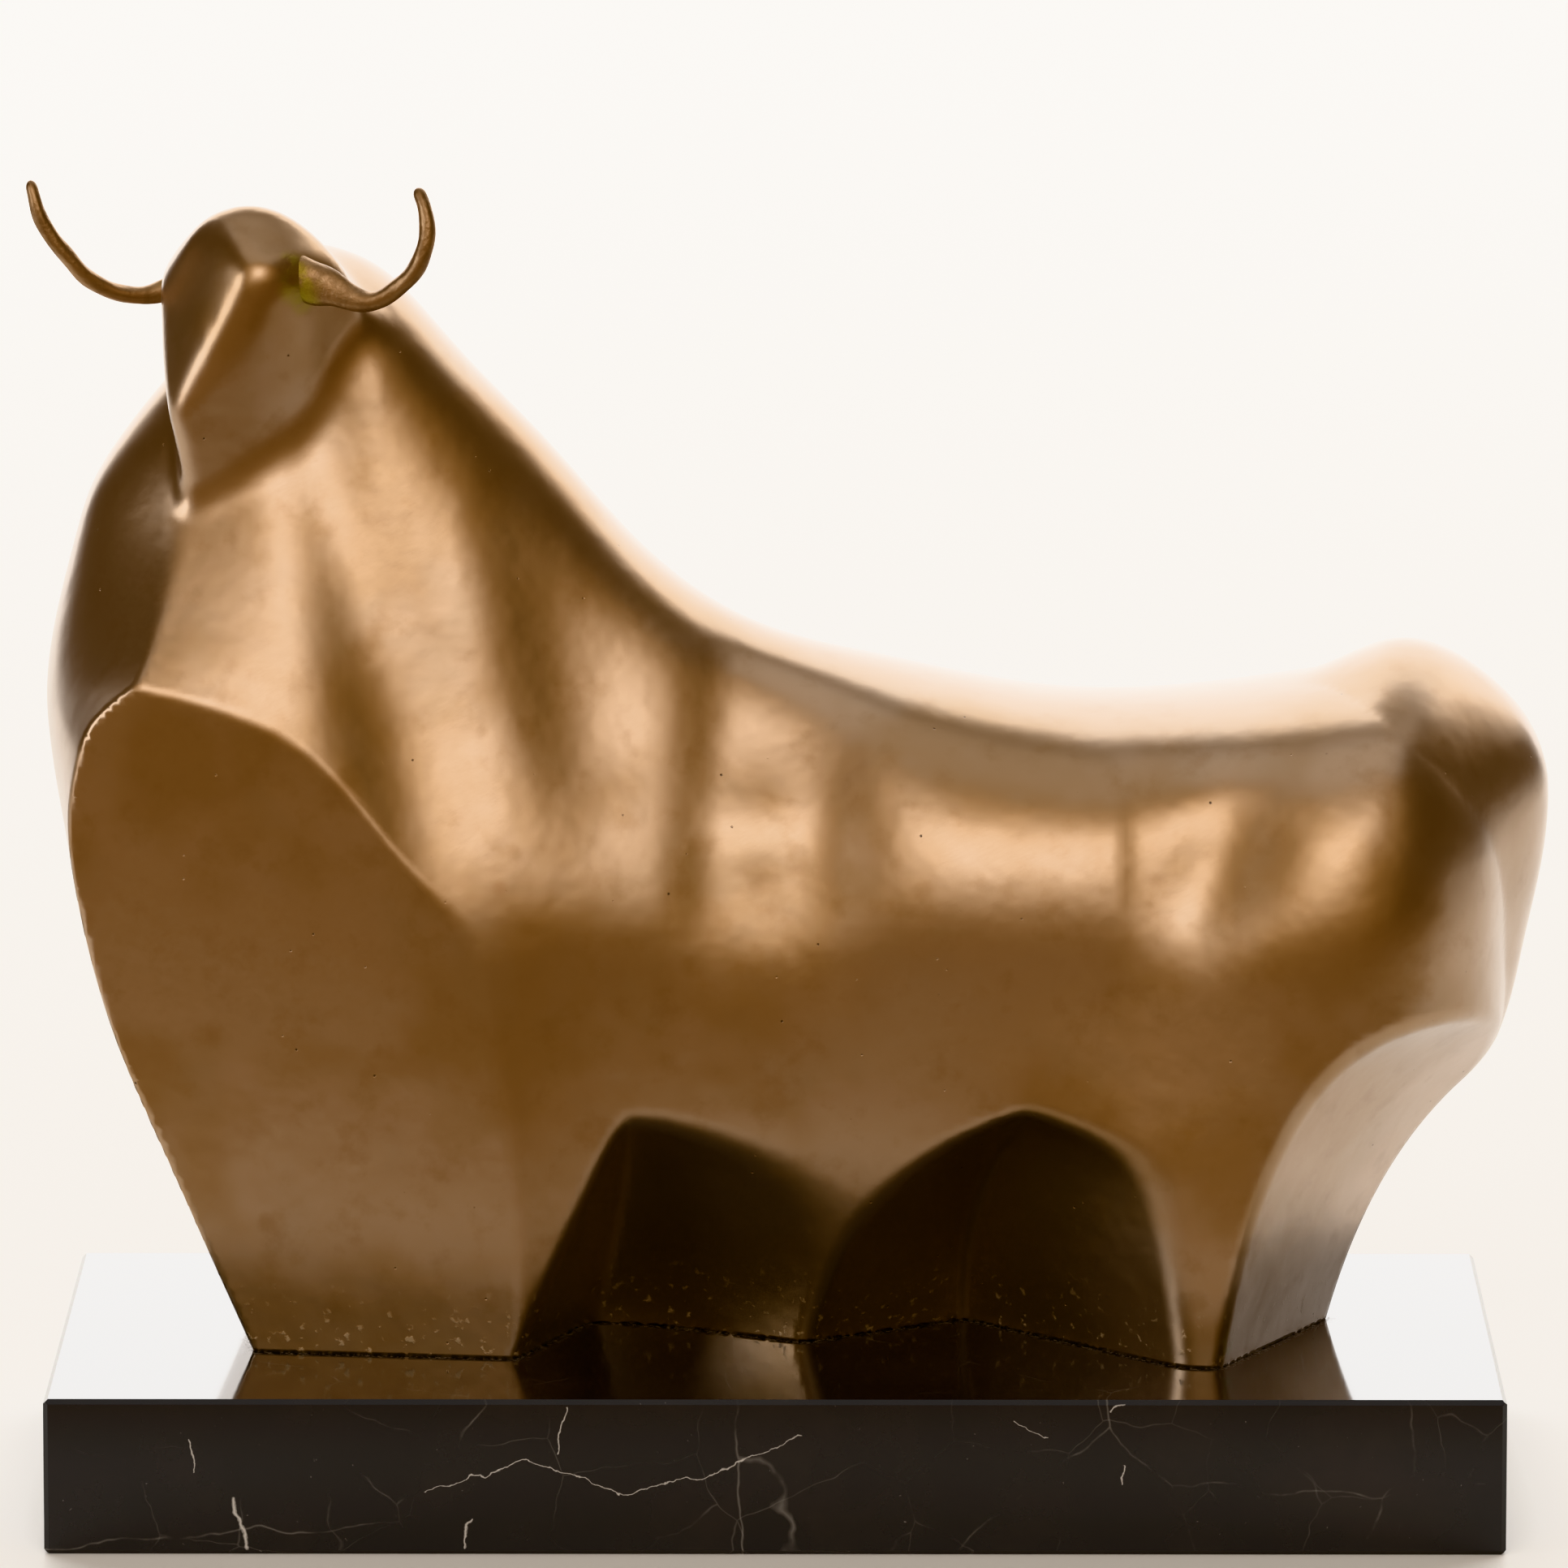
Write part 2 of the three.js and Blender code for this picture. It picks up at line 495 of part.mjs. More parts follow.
function horn(stops) {
  const lengths = [0];
  for (let i = 1; i < stops.length; i++) {
    const a = stops[i - 1];
    const b = stops[i];
    lengths.push(lengths[i - 1] + Math.hypot(b.x - a.x, b.y - a.y, b.z - a.z));
  }
  const at = lengths.map((l) => l / lengths.at(-1));
  const track = (key) => curve(at, stops.map((s) => s[key]));
  const [x, y, z, radius, flat] = ['x', 'y', 'z', 'radius', 'flat'].map(track);

  const positions = [];
  for (let ring = 0; ring <= HORN_RINGS; ring++) {
    const tip = ring === HORN_RINGS;
    const t = ring >= HORN_RINGS - 1 ? 1 - (HORN_RINGS - ring) * (TIP_ROUNDING / 2) : ring / (HORN_RINGS - 1);
    const u = Math.min(t, 1);
    const closing = clamp((1 - u) / TIP_ROUNDING, 0, 1);
    const size = tip ? 0 : radius(u)[0] * Math.sqrt(1 - (1 - closing) ** 2);
    const centre = new THREE.Vector3(x(u)[0], y(u)[0], z(u)[0]);
    const forward = new THREE.Vector3(x(u)[1], y(u)[1], z(u)[1]).normalize();
    const rise = new THREE.Vector3().crossVectors(forward, new THREE.Vector3(0, 1, 0)).normalize();
    const depth = new THREE.Vector3().crossVectors(rise, forward);
    for (let side = 0; side < HORN_SIDES; side++) {
      const angle = (side / HORN_SIDES) * 2 * Math.PI;
      const p = centre.clone()
        .addScaledVector(rise, size * Math.cos(angle))
        .addScaledVector(depth, size * flat(u)[0] * Math.sin(angle));
      positions.push(p.x, p.y, p.z);
    }
  }
  const rootCentre = positions.length / 3;
  positions.push(stops[0].x, stops[0].y, stops[0].z);

  const index = [];
  for (let ring = 0; ring < HORN_RINGS; ring++) {
    for (let side = 0; side < HORN_SIDES; side++) {
      const next = (side + 1) % HORN_SIDES;
      const a = ring * HORN_SIDES + side;
      const b = ring * HORN_SIDES + next;
      const c = a + HORN_SIDES;
      const d = b + HORN_SIDES;
      index.push(a, c, b);
      if (ring < HORN_RINGS - 1) index.push(b, c, d);
    }
  }
  for (let side = 0; side < HORN_SIDES; side++) {
    index.push(rootCentre, side, (side + 1) % HORN_SIDES);
  }
  const geometry = new THREE.BufferGeometry();
  geometry.setAttribute('position', new THREE.Float32BufferAttribute(positions, 3));
  geometry.setIndex(index);
  return geometry;
}

// Slab with a small bevel along its upper and lower edges.
function slab() {
  const levels = [
    { z: 0, inset: SLAB_BEVEL },
    { z: SLAB_BEVEL, inset: 0 },
    { z: SLAB_HEIGHT - SLAB_BEVEL, inset: 0 },
    { z: SLAB_HEIGHT, inset: SLAB_BEVEL },
  ];
  const positions = levels.flatMap(({ z, inset }) => {
    const x = SLAB_LENGTH / 2 - inset;
    const y = SLAB_DEPTH / 2 - inset;
    return [-x, -y, z, x, -y, z, x, y, z, -x, y, z];
  });
  const index = [0, 2, 1, 0, 3, 2];
  for (let level = 0; level < levels.length - 1; level++) {
    for (let side = 0; side < 4; side++) {
      const a = level * 4 + side;
      const b = level * 4 + ((side + 1) % 4);
      index.push(a, b, b + 4, a, b + 4, a + 4);
    }
  }
  const top = (levels.length - 1) * 4;
  index.push(top, top + 1, top + 2, top, top + 2, top + 3);
  const geometry = new THREE.BufferGeometry();
  geometry.setAttribute('position', new THREE.Float32BufferAttribute(positions, 3));
  geometry.setIndex(index);
  return geometry;
}

const wasm = await Module();
wasm.setup();

function toSolid(geometry) {
  const bare = new THREE.BufferGeometry();
  bare.setAttribute('position', geometry.getAttribute('position'));
  bare.setIndex(geometry.getIndex());
  const merged = mergeVertices(bare, 1e-4);
  return new wasm.Manifold(new wasm.Mesh({
    numProp: 3,
    vertProperties: new Float32Array(merged.getAttribute('position').array),
    triVerts: new Uint32Array(merged.getIndex().array),
  }));
}

function toGeometry(solid) {
  const mesh = solid.getMesh();
  const geometry = new THREE.BufferGeometry();
  geometry.setAttribute('position', new THREE.Float32BufferAttribute(mesh.vertProperties, 3));
  geometry.setIndex(new THREE.Uint32BufferAttribute(mesh.triVerts, 1));
  return geometry;
}

const BRONZE = { color: '#8a6238', roughness: 0.34, metalness: 1 };
const HORN_BRONZE = { color: '#6f5138', roughness: 0.5, metalness: 1 };
const MARBLE = { color: '#1c1b1c', roughness: 0.12, metalness: 0 };

function piece(name, geometry, look) {
  const flat = geometry.toNonIndexed();
  flat.computeVertexNormals();
  const mesh = new THREE.Mesh(flat, new THREE.MeshStandardMaterial({ ...look, name: `${name}_face` }));
  mesh.name = name;
  return mesh;
}

// The head and the neck beside it, enlarged by the gap: what a horn's root is cut with.
const hornSeat = (x, y, z) => Math.max(bull(x, y, z) - BRAZE_GAP, outsideBox(x, y, z, HEAD_BOX));

const BULL_LOW = [-204, -76, SLAB_HEIGHT];
const BULL_HIGH = [214, 92, 345];
const HEAD_LOW = [-172, -72, 236];
const HEAD_HIGH = [-80, 44, 350];

const body = toSolid(meshOf(trunk, BULL_LOW, BULL_HIGH, BODY_CELL, SLAB_HEIGHT));
const skull = toSolid(meshOf(head, HEAD_LOW, HEAD_HIGH, HEAD_CELL, HEAD_LOW[2]));
const casting = body.add(skull).simplify(FACET_TOLERANCE);
const seat = toSolid(meshOf(hornSeat, HEAD_LOW, HEAD_HIGH, HEAD_CELL, HEAD_LOW[2]));
const nearHorn = toSolid(horn(NEAR_HORN)).subtract(seat);
const farHorn = toSolid(horn(FAR_HORN)).subtract(seat);

export default new THREE.Group().add(
  piece('marble_slab', slab(), MARBLE),
  piece('bull_casting', toGeometry(casting), BRONZE),
  piece('near_horn', toGeometry(nearHorn), HORN_BRONZE),
  piece('far_horn', toGeometry(farHorn), HORN_BRONZE),
);
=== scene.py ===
"""Smooth abstract bull in cast bronze, with two thin horns brazed on, on a slab of polished black marble.

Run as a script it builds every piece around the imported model. Each piece has an operator, and the sizes and
colours that change its look are settings of the scene, shown in the sidebar. Shapes are worked out in
millimetres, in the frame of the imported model: the bull looks to -X, its head is turned to -Y, and the origin is
the centre of the slab's underside.
"""

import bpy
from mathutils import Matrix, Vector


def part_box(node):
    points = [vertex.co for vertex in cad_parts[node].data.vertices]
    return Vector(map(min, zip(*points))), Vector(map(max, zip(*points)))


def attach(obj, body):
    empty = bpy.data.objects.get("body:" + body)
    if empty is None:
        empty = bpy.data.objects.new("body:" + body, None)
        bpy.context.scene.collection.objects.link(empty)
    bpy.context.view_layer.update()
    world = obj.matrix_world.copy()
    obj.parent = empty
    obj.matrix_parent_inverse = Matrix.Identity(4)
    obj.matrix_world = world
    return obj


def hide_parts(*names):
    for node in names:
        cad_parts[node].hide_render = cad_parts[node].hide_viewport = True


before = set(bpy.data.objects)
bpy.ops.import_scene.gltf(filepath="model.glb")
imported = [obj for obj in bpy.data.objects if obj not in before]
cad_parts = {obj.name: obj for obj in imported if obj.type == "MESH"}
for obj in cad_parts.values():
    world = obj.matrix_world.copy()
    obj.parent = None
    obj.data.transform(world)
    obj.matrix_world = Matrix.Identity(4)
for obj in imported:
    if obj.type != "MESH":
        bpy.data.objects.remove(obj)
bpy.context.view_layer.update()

import math

import bpy
import numpy as np
from mathutils import Vector

bl_info = {
    "name": "Bronze bull on a marble slab",
    "version": (1, 0, 0),
    "blender": (4, 5, 0),
    "location": "3D View > Sidebar > Bull",
    "description": "Builds a smooth abstract bull with brazed horns, its marble slab and a plain studio",
    "category": "Object",
}

MM = 0.001
BODY = "root"
SLAB_LOW, SLAB_HIGH = (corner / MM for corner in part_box("marble_slab"))
GROUND = SLAB_HIGH.z  # the bull stands on the slab

# Camera: the photograph's frame is 1932 pixels each way, and its lens is given in the same pixels.
PHOTO_SIDE = 1932
LENS_PIXELS = 16653.5
SENSOR_MM = 36
CAMERA_PLACE = (0.0143, -3.4314, 0.7662)
CAMERA_DOWN = math.radians(9.659)
CAMERA_TURN = math.radians(0.206)


# Curves and soft edges

def curve(knots, values):
    """Natural cubic through the knots, straight beyond them: t to (value, slope).

    values holds one number, or one row of numbers, for each knot.
    """
    knots = np.array(knots, float)
    values = np.array(values, float)
    gap = np.diff(knots)
    column = gap.reshape([-1] + [1] * (values.ndim - 1))
    steps = np.diff(values, axis=0) / column
    system = np.eye(len(knots))
    rest = np.zeros(values.shape)
    for i in range(1, len(knots) - 1):
        system[i, i - 1:i + 2] = gap[i - 1], 2 * (gap[i - 1] + gap[i]), gap[i]
        rest[i] = 6 * (steps[i] - steps[i - 1])
    bend = np.linalg.solve(system, rest)

    def at(t):
        t = np.asarray(t, float)
        i = np.clip(np.searchsorted(knots, t) - 1, 0, len(gap) - 1)
        inside = np.clip(t, knots[0], knots[-1])
        a, c, g, over = knots[i + 1] - inside, inside - knots[i], gap[i], t - inside
        if values.ndim > 1:
            a, c, g, over = a[..., None], c[..., None], g[..., None], over[..., None]
        left = values[i] / g - bend[i] * g / 6
        right = values[i + 1] / g - bend[i + 1] * g / 6
        value = (bend[i] * a ** 3 + bend[i + 1] * c ** 3) / (6 * g) + left * a + right * c
        slope = (-3 * bend[i] * a ** 2 + 3 * bend[i + 1] * c ** 2) / (6 * g) - left + right
        return value + slope * over, slope

    return at


def soft_min(a, b, k):
    """Lesser of two values, rounded off over k where they cross."""
    h = np.clip(0.5 + 0.5 * (b - a) / k, 0, 1)
    return b + (a - b) * h - k * h * (1 - h)


def soft_max(a, b, k):
    """Greater of two values, rounded off over k where they cross."""
    return -soft_min(-a, -b, k)


def length(*parts):
    """Length of a vector given by its parts."""
    return np.sqrt(sum(np.square(part) for part in parts))


# Body, neck and legs, in millimetres

CENTRE_Y = 8  # the bull's long middle plane
BACK_ROUNDING = 36  # how far the back's rounding reaches down the flanks
RUMP_ROUNDING = 28  # the same for the rump, above the hind legs
HIND_LEG_ROUNDING = 6  # and between the hind legs
RUMP_HEIGHT = 112  # where the hind legs end and the rump begins
RUMP_BLEND = 9  # over this height the one goes over into the other
OUTLINE_BLEND = 1.1  # how softly back and rump run together
# Softness of the edges that the cuts, the hollows and the keeled chest leave
EDGES = dict(shoulder=0.9, haunch=3, hollow=3, hollow_front=9, hollow_rear=4, chest=1.2)

# Side outline: height of the back over x, and x of rump and chest over height. Beyond these ranges it is level.
BACK_RANGE = (-125, 200)
RUMP_RANGE = (38, 225)
CHEST_RANGE = (30, 330)
back = curve(
    [-118, -100, -83, -59, -36, -10, 25, 70, 100, 135, 152, 166, 176, 186],
    [321.5, 313.8, 295.6, 270.3, 244.6, 225.2, 214.6, 206, 205.6, 209.5, 211.8, 211.8, 208.3, 200.5],
)
rump = curve(
    [38, 48, 61, 73, 86, 99, 112, 125, 140, 160, 180, 200, 215],
    [145.9, 147.7, 152.3, 158.9, 167.8, 177.5, 184.8, 188.2, 188.8, 189.5, 187.4, 180, 170],
)
chest = curve(
    [40, 64, 90, 115, 140, 166, 184, 195, 205, 215, 228, 247, 260, 272, 285, 300, 313, 325],
    [-134.5, -145, -156, -166.4, -174.6, -181.3, -185.6, -187.3, -188,
     -187.3, -184.9, -180, -175.6, -168.2, -158, -144, -128, -110],
)

# How far the chest's edge lies behind its middle, at EDGE_WIDTH from the middle plane.
EDGE_WIDTH = 45
SWEEP_RANGE = (60, 330)
chest_sweep = curve(
    [100, 150, 177, 194, 205, 215, 238, 257, 285, 320],
    [0, 0.5, 3.5, 8, 12, 19, 38, 58, 68, 70],
)

# Half widths of the body: one row for each height, one value for each station along x.
STATIONS = [-150, -110, -75, -40, 0, 45, 90, 120, 150, 185]
STATION_RANGE = (-175, 200)
HALF_WIDTHS = {
    40: [62, 60, 54, 42, 32, 40, 57, 62, 50, 24],
    95: [68, 65, 57, 49, 46, 50, 60, 64, 60, 44],
    140: [69, 65, 59, 54, 52, 54.5, 59, 64.5, 65, 59],
    164: [66, 64, 62.5, 59, 57, 58.5, 62.5, 67, 67, 64],
    200: [58, 56, 56, 57, 60, 63, 69, 75, 77, 72],
    255: [31, 42, 49, 54, 59, 64, 70, 76, 78, 72],
    310: [20, 31, 39, 45, 49, 52, 54, 55, 56, 44],
}
width_over_height = curve(list(HALF_WIDTHS), list(HALF_WIDTHS.values()))
share_of_station = curve(STATIONS, np.eye(len(STATIONS)))

# Steps in the body's width, from front to rear: where each is at height z, how long it is, how much it adds,
# and the heights between which it is there.
STEPS = {
    "behind the chest plate": dict(x=-112, z=225, lean=-0.24, reach=5.5, height=-9.5, low=156, high=292),
    "behind the neck": dict(x=-64, z=220, lean=-0.25, reach=6, height=-10, low=186, high=300),
    "behind the shoulder": dict(x=-21, z=185, lean=0.04, reach=4.5, height=-8, low=156, high=225),
    "before the belly": dict(x=19, z=180, lean=0, reach=7.5, height=14, low=152, high=225),
    "behind the belly": dict(x=89, z=178, lean=0, reach=2, height=-3, low=155, high=205),
}

# Gentle swellings and hollows of the flank: centre, turn of the long axis from level, reaches and height.
SWELLINGS = {
    "front of belly": dict(x=-5, z=176, turn=0, long=14, wide=15, height=2.5),
    "flank": dict(x=113, z=170, turn=math.radians(60), long=22, wide=13, height=-4.2),
    "hip": dict(x=147, z=168, turn=0, long=24, wide=26, height=4),
}
STEP_FADE = 9  # height over which a step comes and goes


def s_curve(t):
    """Smooth step from 0 to 1 around t = 0."""
    return 1 / (1 + np.exp(-np.clip(t, -40, 40)))


def half_width(x, z):
    """Half width of the body: each height's widths, blended over the stations, with steps and swellings."""
    rows = width_over_height(z)[0]
    width = (rows * share_of_station(np.clip(x, *STATION_RANGE))[0]).sum(-1)
    for s in STEPS.values():
        there = s_curve((z - s["low"]) / STEP_FADE) * s_curve((s["high"] - z) / STEP_FADE)
        width = width + s["height"] * there * s_curve((x - s["x"] - s["lean"] * (z - s["z"])) / s["reach"])
    for s in SWELLINGS.values():
        along = (x - s["x"]) * math.cos(s["turn"]) + (z - s["z"]) * math.sin(s["turn"])
        across = (z - s["z"]) * math.cos(s["turn"]) - (x - s["x"]) * math.sin(s["turn"])
        fall_off = (along / s["long"]) ** 2 + (across / s["wide"]) ** 2
        width = width + s["height"] * np.exp(-fall_off)
    return width


# Tail: a raised band around the rump, over the angle seen from the hip in degrees.
TAIL_CENTRE = dict(x=140, z=165)
TAIL_ANGLES = [-60, -44, -30, -10, 10, 35, 55, 75, 92, 105]
tail_rise = curve(TAIL_ANGLES, [0, 0.8, 3, 5.5, 7.5, 8.5, 7, 4.5, 0.5, 0])
tail_half_width = curve(TAIL_ANGLES, [3, 9, 18, 28, 35, 43, 44, 33, 14, 7])
TAIL_FADE = 1.5


def tail(x, z, width):
    """Rise of the tail above the rump: greatest at the middle, running out softly at the band's edge."""
    angle = np.degrees(np.arctan2(z - TAIL_CENTRE["z"], x - TAIL_CENTRE["x"]))
    half = np.maximum(tail_half_width(angle)[0], 3)
    there = (angle > TAIL_ANGLES[0]) & (angle < TAIL_ANGLES[-1])
    rise = np.where(there, np.clip(tail_rise(angle)[0], 0, 20), 0)
    return rise * np.clip(1 - (width / half) ** 2, 0, 1) ** TAIL_FADE


# Above its arch a hollow leaves the body: this grows steeply from there.
ARCH = dict(softness=6, steepness=2.5, front=76, rear=66, haunch=93)


def over_arch(up, arch):
    """Soft ramp that starts at the arch's height."""
    past = np.clip((up - arch) / ARCH["softness"], -30, 30)
    return ARCH["steepness"] * ARCH["softness"] * np.log1p(np.exp(past))


# Flat cuts of the lower body. Each gives a half width over x and the height above the slab.
SHOULDER_CUT = dict(x=-134, half_width=42, per_x=0.133, per_up=0.077)
HAUNCH_CUT = dict(
    x=119, half_width=50, turn=2.1, turn_per_up=-0.0075, turn_per_up2=-0.00006, least_turn=0.3,
    per_up=0.4, per_up2=0.0015,
)


def shoulder_cut(x, z):
    """Flat leaf-shaped face at the side of the chest: a plane."""
    cut = SHOULDER_CUT
    return cut["half_width"] + cut["per_x"] * (x - cut["x"]) + cut["per_up"] * (z - GROUND)


def haunch_cut(x, z):
    """Twisted flat face behind the hind leg: it turns less across the body the higher it is."""
    cut = HAUNCH_CUT
    up = z - GROUND
    turn = cut["turn"] + cut["turn_per_up"] * up + cut["turn_per_up2"] * up ** 2
    left = cut["half_width"] + cut["per_up"] * up + cut["per_up2"] * up ** 2
    return left - (x - cut["x"]) * np.maximum(turn, cut["least_turn"]) + over_arch(up, ARCH["haunch"])


# Hollow behind the foreleg: a steep wall in front, and a bowl that turns outwards behind BOWL's x.
FORELEG_WALL = dict(x=-66.5, half_width=51, per_x=-2.6, per_up=1.1)
BOWL = dict(x=-36, turn=0.3, rounding=12, inset=0.9, lean_x=-24, lean=0.3, lean_per_x=-0.006, per_up2=0.0045)
BOWL_RANGE = (-60, 25)


def front_hollow(x, z, left):
    """Half width that the front hollow leaves standing; left is what is left at the ground."""
    up = z - GROUND
    wall = FORELEG_WALL
    front = wall["half_width"] + wall["per_x"] * (x - wall["x"]) + wall["per_up"] * up
    behind = x - BOWL["x"]
    bowl = BOWL["turn"] * (behind + length(behind, BOWL["rounding"])) - BOWL["inset"]
    lean = BOWL["lean"] + BOWL["lean_per_x"] * (np.clip(x, *BOWL_RANGE) - BOWL["lean_x"])
    wall = left + bowl + lean * up + BOWL["per_up2"] * up ** 2
    return soft_max(front, wall, EDGES["hollow_front"]) + over_arch(up, ARCH["front"])


# Hollow before the hind leg: two leaning walls that meet in a crease on the ground at CREASE's x.
CREASE = dict(x=49, lean_x=71, lean=0.37, lean_per_x=-0.0082)
LEAN_RANGE = (0.05, 0.6)
RIDGE = dict(x=5.8, half_width=31, per_up=0.45, per_up2=0.006)  # between the two hollows
HIND_TOE = dict(x=110, half_width=68)


def rear_hollow(x, z, left):
    """Half width that the rear hollow leaves standing; left is what is left at the ground."""
    up = z - GROUND
    fall = (RIDGE["half_width"] - left) / (CREASE["x"] - RIDGE["x"])
    front = RIDGE["half_width"] - fall * (x - RIDGE["x"]) + RIDGE["per_up"] * up + RIDGE["per_up2"] * up ** 2
    rise = (HIND_TOE["half_width"] - left) / (HIND_TOE["x"] - CREASE["x"])
    lean = np.clip(CREASE["lean"] + CREASE["lean_per_x"] * (x - CREASE["lean_x"]), *LEAN_RANGE)
    rear = left + rise * (x - CREASE["x"]) + lean * up
    return soft_max(front, rear, EDGES["hollow_rear"]) + over_arch(up, ARCH["rear"])


NEAR_HOLLOWS = (5, 1)  # what is left between middle plane and hollow at the ground, front and rear
FAR_HOLLOW = 30


def outside_wall(wall, x, z, width):
    """Distance outside a wall given as a half width over x and z: the excess divided by the wall's slope."""
    e = 0.5
    along = (wall(x + e, z) - wall(x - e, z)) / (2 * e)
    up = (wall(x, z + e) - wall(x, z - e)) / (2 * e)
    return (width - wall(x, z)) / length(1, along, up)


DEPTH_RANGE = (-3, 50)  # outside this depth below the outline the body's fullness stays the same
SLOPE_RANGE = (-1, 50)  # and outside this one its slope
LEAST_SLOPE = 0.001


def trunk(points):
    """Body, neck and legs: negative inside, in about millimetres.

    Over x and z the section across the body is an ellipse, whose height follows the depth below the outline.
    The tail is added, and the flat cuts, the hollows and the keeled chest are taken off with soft edges.
    """
    x, y, z = points[..., 0], points[..., 1], points[..., 2]
    width = np.abs(y - CENTRE_Y)
    near = y < CENTRE_Y
    half = half_width(x, z)

    back_z, back_slope = back(np.clip(x, *BACK_RANGE))
    rump_x, rump_slope = rump(np.clip(z, *RUMP_RANGE))
    share_above = 1 / (1 + np.exp((RUMP_HEIGHT - z) / RUMP_BLEND))
    rear_rounding = HIND_LEG_ROUNDING + (RUMP_ROUNDING - HIND_LEG_ROUNDING) * share_above
    below_back = 2 * (back_z - z) / length(1, back_slope) / BACK_ROUNDING
    inside_rump = 2 * (rump_x - x) / length(1, rump_slope) / rear_rounding
    depth = soft_min(below_back, inside_rump, OUTLINE_BLEND)
    rump_share = np.clip(0.5 + 0.5 * (below_back - inside_rump) / OUTLINE_BLEND, 0, 1)
    rounding = BACK_ROUNDING + (rear_rounding - BACK_ROUNDING) * rump_share

    fullness = 1 - np.exp(-np.clip(depth, *DEPTH_RANGE))
    inwards = 2 / rounding * np.exp(-np.clip(depth, *SLOPE_RANGE))
    steep = length(2 * width / half ** 2, inwards, LEAST_SLOPE)
    outside = ((width / half) ** 2 - fullness) / steep - tail(x, z, width)

    outside = soft_max(outside, outside_wall(shoulder_cut, x, z, width), EDGES["shoulder"])
    outside = soft_max(outside, outside_wall(haunch_cut, x, z, width), EDGES["haunch"])
    for hollow, left_near in zip((front_hollow, rear_hollow), NEAR_HOLLOWS):
        left = np.where(near, left_near, FAR_HOLLOW)
        wall = outside_wall(lambda u, v: hollow(u, v, left), x, z, width)
        outside = soft_max(outside, wall, EDGES["hollow"])

    chest_x, chest_slope = chest(np.clip(z, *CHEST_RANGE))
    sweep = chest_sweep(np.clip(z, *SWEEP_RANGE))[0]
    swept = chest_x + sweep * (width / EDGE_WIDTH) ** 2
    front = (swept - x) / length(1, chest_slope, 2 * sweep * width / EDGE_WIDTH ** 2)
    return soft_max(outside, front, EDGES["chest"])


# Head: level slices are part ellipses from the far outline to the ridge, with crown, cheek and jaw cut off. The
# curves give the outline's x and the ridge's y over height.
HEAD_OUTLINE = curve(
    [244, 256, 270, 285, 299, 310, 320, 336],
    [-146, -150, -152.3, -155, -156.4, -157, -158, -160],
)
RIDGE_DEPTH = curve(
    [240, 254, 262, 270, 282, 300, 318, 336],
    [-16, -23, -26, -28.6, -32, -37, -42, -47],
)
MUZZLE = dict(top=282, width=4, depth=4, widens=0.79, deepens=0.75, softness=3)
SLICE = dict(outline_angle=math.radians(42), ridge_angle=math.radians(77), edge=1.5)
FAR_SIDE = dict(width=30, depth=42)
CROWN = dict(centre=(-134, -21, 334.5), curve_x=18, slope_front=0.85, slope_back=0.35, edge=2, softness=5)
CHEEK = dict(centre=(-151, -32.5, 282), faces=(0.174, -0.985, -0.37))
JAW_SIDE = dict(centre=(-124.6, -24, 277.4), faces=(0.643, -0.766, -0.248))
CHEEK_SOFTNESS = (6, 9)  # along the ridge, and between cheek and jaw
NECK_SOFTNESS = 5
HEAD_LOW, HEAD_HIGH = (-172, -68, 240), (-78, 36, 352)  # the head is within this box
BULL_LOW, BULL_HIGH = (-206, -80, GROUND), (216, 96, 346)  # and the casting within this one
NORMAL_REACH = 0.7  # over this distance the surface's direction is taken
HOLLOW_REACH = 1.5  # and over this one its hollowness
FOOT_OVER = 0.3  # the distance to the bull's foot is measured this high over the slab


def beyond_plane(points, plane):
    """Distance beyond a plane, on the side that it faces."""
    faces = np.array(plane["faces"]) / np.linalg.norm(plane["faces"])
    return (points - np.array(plane["centre"], float)) @ faces


def outside_ellipse(across, along, half_across, half_along):
    """Distance outside an ellipse, from the offsets to its centre and its half axes."""
    size = length(across / half_across, along / half_along)
    steep = length(across / half_across ** 2, along / half_along ** 2)
    middle = steep < 1e-6
    return np.where(middle, -half_across, size * (size - 1) / np.where(middle, 1, steep))


def forehead(points):
    """Distance outside the head's level slices.

    Each slice is part of an ellipse from the outline to the ridge, and on to its middle. Beyond that it is
    level. Behind the outline a second ellipse closes it. Below the muzzle's top the slices stay narrow, above it
    they widen in straight lines.
    """
    x, y, z = points[..., 0], points[..., 1], points[..., 2]
    over = z - MUZZLE["top"]
    width = MUZZLE["width"] + soft_max(MUZZLE["widens"] * over, 0 * over, MUZZLE["softness"])
    depth = MUZZLE["depth"] + soft_max(MUZZLE["deepens"] * over, 0 * over, MUZZLE["softness"])
    first, last = SLICE["outline_angle"], SLICE["ridge_angle"]
    half_x = width / (math.cos(first) - math.cos(last))
    half_y = depth / (math.sin(last) - math.sin(first))
    from_outline = x - HEAD_OUTLINE(z)[0]
    from_ridge = y - RIDGE_DEPTH(z)[0]
    across = np.minimum(from_outline - half_x * math.cos(first), 0)
    along = np.minimum(from_ridge - half_y * math.sin(last), 0)
    face = outside_ellipse(across, along, half_x, half_y)
    far_across = np.minimum(from_outline - FAR_SIDE["width"], 0)
    far_side = outside_ellipse(
        far_across, np.maximum(from_ridge - depth, 0), FAR_SIDE["width"], FAR_SIDE["depth"],
    )
    return soft_max(face, far_side, SLICE["edge"])


